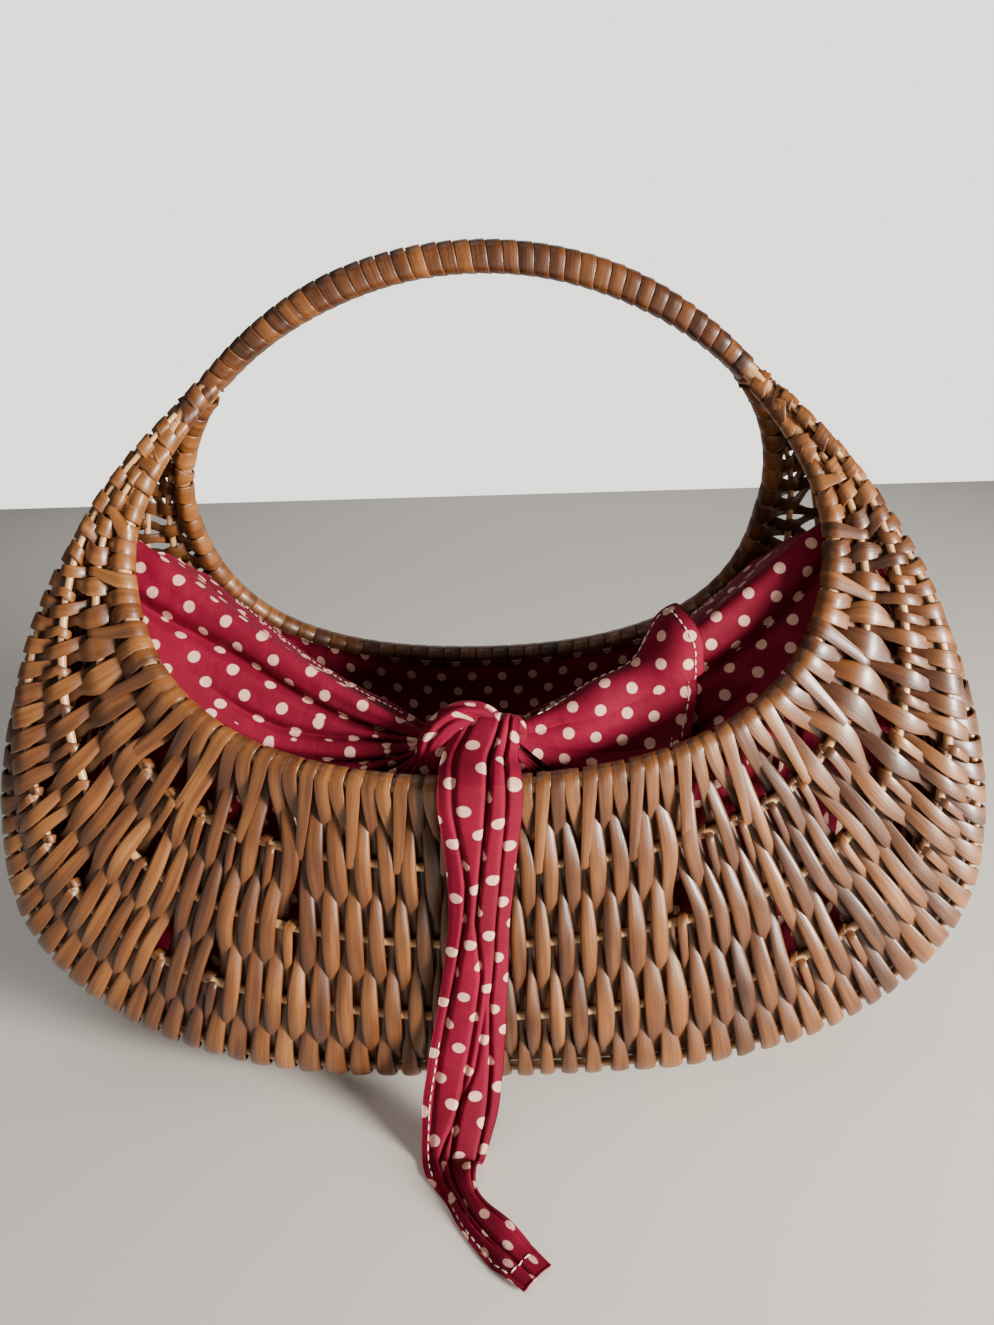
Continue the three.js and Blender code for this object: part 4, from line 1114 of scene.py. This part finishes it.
def panel_grid(side, columns, rows, seed, creased=1):
    """Points of a panel: columns run from the sewn edge to the knot, rows across them."""
    rng = np.random.default_rng(seed)
    edge = along_chain(panel_edge(side), columns)
    curl = np.cos((columns - 0.5) * math.pi)
    gather = knot_centre + together(
        side * (gather_side - 2 * MM * curl),
        (columns - 0.5) * gather_width,
        2 * MM * columns - 3 * MM * curl,
    )
    q = rows[:, None]
    s = columns[None, :]
    grid = edge[None] * (1 - q)[..., None] + gather[None] * q[..., None]
    swell = np.sin(math.pi * np.clip(q, 0, 1))
    sag = panel_sags[side] * (0.3 + 0.7 * smooth(s, 0, 0.3) - 0.6 * smooth(s, 0.45, 0.68))
    soft = wavy(s, [(1.6, 1.0), (3.2, 0.8)], rng) * 1.2 * MM
    grid = grid + together(0, 0, (soft - sag) * swell)
    lift = 0
    for middle, width, depth, begin in creases:
        middle = middle + rng.uniform(-0.012, 0.012)
        middle = middle + 0.012 * np.sin(2.4 * math.pi * q + rng.uniform(0, 6.3))
        lift = lift - depth * MM * ridge(s, middle, width) * smooth(q, begin, begin + 0.35)
    for middle, width, height in rolls:
        lift = lift + height * MM * ridge(s, middle, width) * smooth(q, 0, 0.1)
    lift = creased * lift * (1 - 0.6 * smooth(q, 0.8, 1))
    return grid + grid_normals(grid)[0] * lift[..., None]


relax_step = 1.6
coarse_size = (16, 30)
coarse_passes = 1500
fine_passes = 500


def relax(flat, grid, passes):
    """Moves flat places until they are as far apart as the points of the cloth are."""
    first, last, every = slice(None, -1), slice(1, None), slice(None)
    links = [
        ((first, every), (last, every)), ((every, first), (every, last)),
        ((first, first), (last, last)), ((first, last), (last, first)),
    ]
    goals = [np.linalg.norm(grid[b] - grid[a], axis=-1, keepdims=True) for a, b in links]
    count = np.zeros(grid.shape[:2] + (1,))
    for ends in links:
        for end in ends:
            count[end] += 1
    for _ in range(passes):
        move = np.zeros_like(flat)
        for (a, b), goal in zip(links, goals):
            step = flat[b] - flat[a]
            length = np.maximum(np.linalg.norm(step, axis=-1, keepdims=True), 1e-9)
            push = step * (0.5 * (goal - length) / length)
            move[a] -= push
            move[b] += push
        flat = flat + relax_step * move / count
    return flat


def fill_in(lines, places, count):
    """Lines of flat places with all their points, from some points of each."""
    return np.stack([read_line(np.arange(count), places, line) for line in lines])


def flat_place(grid):
    """Places on the flat cloth, along the free edge of a panel and square to it."""
    hem_way = unit(grid[-1, -1] - grid[0, -1])
    aside = square_to(grid[0, 0] - grid[0, -1], hem_way)
    flat = together((grid - grid[-1, -1]) @ aside, (grid - grid[-1, -1]) @ hem_way)
    rows, columns = (
        np.unique(np.linspace(0, size - 1, kept).astype(int))
        for size, kept in zip(grid.shape, coarse_size)
    )
    some = np.ix_(rows, columns)
    coarse = relax(flat[some], grid[some], coarse_passes)
    across = fill_in(coarse, columns, grid.shape[1])
    whole_flat = fill_in(np.swapaxes(across, 0, 1), rows, len(grid))
    return relax(np.swapaxes(whole_flat, 0, 1), grid, fine_passes)


for side, node, seed in ((-1, "left_panel", 11), (1, "right_panel", 12)):
    grid = panel_grid(side, np.linspace(0, 1, panel_columns), np.linspace(0, 1, panel_rows), seed)
    panel = cloth_piece(f"{node}_cotton", grid, flat_place(grid), seed)
    hem_column = int(panel_columns * (1 - 1.6 * hem_share))
    stitched = np.arange(3, panel_rows - 9)
    stitches = hem_stitches(f"{node}_hem_stitches", grid, stitched, hem_column)
    stand_for(panel, node)

# ---------------------------------------------------------------------------------------
# Knot
# The gathered ends of the two panels, tied over the front rim: a roll that arches up and
# over, round the gathered cloth behind it.
roll_sides = 72
roll_end_share = 0.08
knot_pleats = [(5, 0.10), (8, 0.08), (3, 0.06), (13, 0.04)]
# The arch and the band behind it: points in millimetres, steps, radius, its share at the ends,
# its swell to the middle, flatness and seed
knot_rolls = [
    ([(-20, -63, 151), (-22, -64, 160), (-19, -63, 169), (-11, -61, 175.5), (-2, -60, 175.5),
      (4, -61, 170), (5, -61, 162)], 90, 5.6 * MM, 0.85, 0.25, 0.9, 31),
    ([(-29, -55, 161), (-18, -53, 160), (-4, -53, 162), (8, -55, 166), (17, -56, 166)],
     70, 8.0 * MM, 0.8, 0.3, 0.85, 32),
]


def cloth_roll(centres, radii, flatness, seed):
    """A roll of gathered cloth along a path, with lengthwise pleats."""
    rng = np.random.default_rng(seed)
    angle = around(roll_sides)
    along = unit(np.gradient(centres, axis=0))
    aside = unit(np.cross(along, (0.25, 1.0, 0.1)))
    rise = np.cross(along, aside)
    s = np.linspace(0, 1, len(centres))[:, None]
    turn = angle[None] + 0.9 * s
    pleat = sum(
        size * np.cos(
            number * turn + rng.uniform(0, 6.3) + 1.2 * np.sin(3 * s + rng.uniform(0, 6.3)))
        for number, size in knot_pleats
    )
    ends = np.clip(from_end(s) / roll_end_share, 0, 1) ** 0.5
    radius = radii[:, None] * (1 + pleat) * between(0.35, 1, ends)
    rings = set_out(centres, aside, rise, np.cos(angle) * radius, np.sin(angle) * radius * flatness)
    steps = np.linalg.norm(rings - np.roll(rings, 1, axis=1), axis=2)
    place = together(lengths(rings, 0, 0), np.cumsum(steps, axis=1), float(seed))
    return sweep(rings, {"cloth_place": place})


def curve_through(points, count):
    """A smooth line through these points, in millimetres, at even steps."""
    knots = np.array(points, float) * MM
    knots = [2 * knots[0] - knots[1], *knots, 2 * knots[-1] - knots[-2]]
    s = np.linspace(0, 1, 24, endpoint=False)[:, None]
    line = [spline(*knots[k - 1:k + 3], s) for k in range(1, len(knots) - 2)]
    return along_chain(np.concatenate([*line, knots[-2:-1]]), np.linspace(0, 1, count))


skins = []
for points, count, radius, at_ends, swell, flatness, seed in knot_rolls:
    radii = radius * (at_ends + swell * np.sin(np.linspace(0, math.pi, count)))
    skins.append(cloth_roll(curve_through(points, count), radii, flatness, seed))
knot = new_mesh("knot_cotton", *joined(skins), cotton)
stand_for(knot, "knot")

# ---------------------------------------------------------------------------------------
# Tails
# The loose ends of the knot: the long one, pleated and hemmed, hangs over the front rim and
# runs out over the table, and the short one lies over the right panel with a wavy hem.
tail_columns = 70
tail_rows = 240
tail_facing = (0, -1.0, 0.6)
tail_flat_width = 32 * MM
rim_clear = 10.0
wall_clear = 8.6
tail_run = 72
# The way of the tail in millimetres: out of the knot, over the rim, down the wall and over
# the table
rim_x, rim_y, rim_z = knot_rim / MM
tail_points = [
    (7, -57, 172), (4, -63, 174.5), (0, rim_y + 6, rim_z + rim_clear + 4.5),
    (-1.6, rim_y, rim_z + rim_clear + 1),
    (-1.6, rim_y - rim_clear * 0.72, rim_z + rim_clear * 0.72),
    (-1.8, rim_y - rim_clear * 1.04, rim_z),
]
beside, _, _, beside_normal = on_wall(0.5, np.array((-5, -4, -3)))
beside = beside / MM + beside_normal * wall_clear
for _, y, z in beside:
    drop = 1 - z / (rim_z + rim_clear)
    tail_points.append((rim_x - 16 * drop * drop, y, z))
foot_y = beside[-1, 1] - 7
tail_points.append((-14, foot_y, beside[-1, 2] * 0.42))
for out, aside, high in (
    (0.22, 0, 2.2), (0.36, 0.01, 2.0), (0.6, 0.1, 2.4), (0.8, 0.26, 2.0), (1, 0.46, 1.4),
):
    tail_points.append((rim_x - 16 + aside * tail_run, foot_y - out * tail_run, high))
tail_line = curve_through(tail_points, tail_rows)
tail_share = np.linspace(0, 1, tail_rows)
# Width and depth of folds in millimetres at shares of the way from the knot
tail_facts = np.array([
    (0.00, 17, 3.6), (0.05, 25, 4.2), (0.10, 31, 3.8), (0.16, 33, 3.4), (0.27, 27, 3.8),
    (0.36, 24, 4.0), (0.48, 27, 3.6), (0.60, 31, 3.0), (0.68, 32, 3.0), (0.76, 25, 3.2),
    (0.83, 11, 3.6), (0.88, 13, 3.0), (0.94, 17, 2.2), (1.00, 14, 1.4),
])
tail_width, tail_depth = (
    np.convolve(np.pad(values, 4, "edge"), np.ones(9) / 9, "valid")[:, None] * MM
    for values in read_line(tail_share, tail_facts[:, 0], tail_facts[:, 1:]).T
)
# Creases down the tail: their place across it at shares of the way, width and depth
tail_creases = [
    (((0.0, 0.14), (0.2, 0.06), (0.36, -0.05), (0.45, 0.07), (0.6, 0.03), (0.8, -0.05)),
     0.036, 1.25),
    (((0.0, 0.30), (0.2, 0.31), (0.36, 0.26), (0.5, 0.25), (0.62, 0.34), (1.0, 0.4)), 0.03, 0.9),
    (((0.0, -0.34), (0.18, -0.3), (0.3, -0.22), (0.42, -0.29), (0.6, -0.36), (1.0, -0.4)),
     0.04, 0.9),
    (((0.5, 0.2), (0.62, 0.12), (0.76, -0.2), (1.0, -0.1)), 0.03, 0.9),
]
tail_along = unit(np.gradient(tail_line, axis=0))
tail_aside = square_to(np.array((1.0, 0, 0)), tail_along)
tail_out = np.cross(tail_along, tail_aside)
u = np.linspace(-0.5, 0.5, tail_columns)[None, :]
s = tail_share[:, None]
height = 0.75 * (1 - (2 * np.abs(u)) ** 2.4) * tail_depth
for order, (way, width, depth) in enumerate(tail_creases):
    shares, places = np.array(way).T
    valley = np.interp(s, shares, places) + 0.012 * np.sin(17 * s + order)
    depth = depth * (0.7 + 0.3 * np.sin(9 * s + 2.1 * order))
    depth = depth * smooth(s, shares[0] - 0.1, shares[0] + 0.1) * (1 - 0.6 * smooth(s, 0.85, 0.95))
    height = height - depth * tail_depth * ridge(u, valley, width)
twist = 1.9 * rise_and_fall(s, 0.76, 0.83, 0.87, 0.97)
height = height + u * tail_width * np.sin(twist) * 0.55
slide = 0.03 * tail_depth * np.sin(40 * u + 9 * s)
tail_grid = set_out(tail_line, tail_aside, tail_out, u * tail_width + slide, height)
tail_grid[..., 2] = np.maximum(tail_grid[..., 2], cloth_thickness / 2 + table_clear)
# The tail is cut at a slant to the rows of dots
slant = (0.94, 0.34)
across_tail = lengths(tail_grid, 1, 0)
across_tail = across_tail / across_tail[:, -1:] * tail_flat_width
down_tail = s * way_along(tail_line)[-1]
tail_place = together(
    slant[0] * across_tail + slant[1] * down_tail, slant[0] * down_tail - slant[1] * across_tail)
long_tail = cloth_piece("long_tail_cotton", tail_grid, tail_place, 21, tail_facing)
tail_stitches = [
    hem_stitches(f"long_tail_{name}_stitches", tail_grid, rows, columns, tail_facing)
    for name, rows, columns in (
        ("left", np.arange(138, 190), 6),
        ("right", np.arange(196, tail_rows - 6), 8),
        ("end", tail_rows - 8, np.arange(7, tail_columns - 7)),
    )
]
stand_for(long_tail, "long_tail")

# The short tail follows the part of the right panel that it lies on, and is lifted off it in
# soft waves, at its corner and along its hem; heights in millimetres
short_columns = np.linspace(0.40, 0.675, 60)
short_rows = np.linspace(0.40, 0.98, 80)
short_creased = 0.25
short_grid = panel_grid(1, short_columns, short_rows, 12, short_creased)
across_flap = np.linspace(0, 1, len(short_columns))[None, :]
along_flap = np.linspace(0, 1, len(short_rows))[:, None]
soft_waves = 1.6 * (1 + np.sin(2 * math.pi * (1.3 * across_flap + 0.6 * along_flap)))
raised_corner = 7 * smooth(across_flap, 0.45, 1) * (1 - smooth(along_flap, 0, 0.35))
wavy_hem = 2.4 * np.sin(2 * math.pi * 2.1 * along_flap) * smooth(across_flap, 0.5, 1)
short_lift = 3 + soft_waves * (1 - smooth(along_flap, 0.6, 1)) + raised_corner
short_lift = (short_lift + wavy_hem * (1 - along_flap)) * MM
short_grid = short_grid + grid_normals(short_grid)[0] * short_lift[..., None]
short_tail = cloth_piece("short_tail_cotton", short_grid, flat_place(short_grid), 22)
short_stitches = [
    hem_stitches("short_tail_side_stitches", short_grid, np.arange(3, 70), 55),
    hem_stitches("short_tail_end_stitches", short_grid, 4, np.arange(4, 56)),
]
stand_for(short_tail, "short_tail")
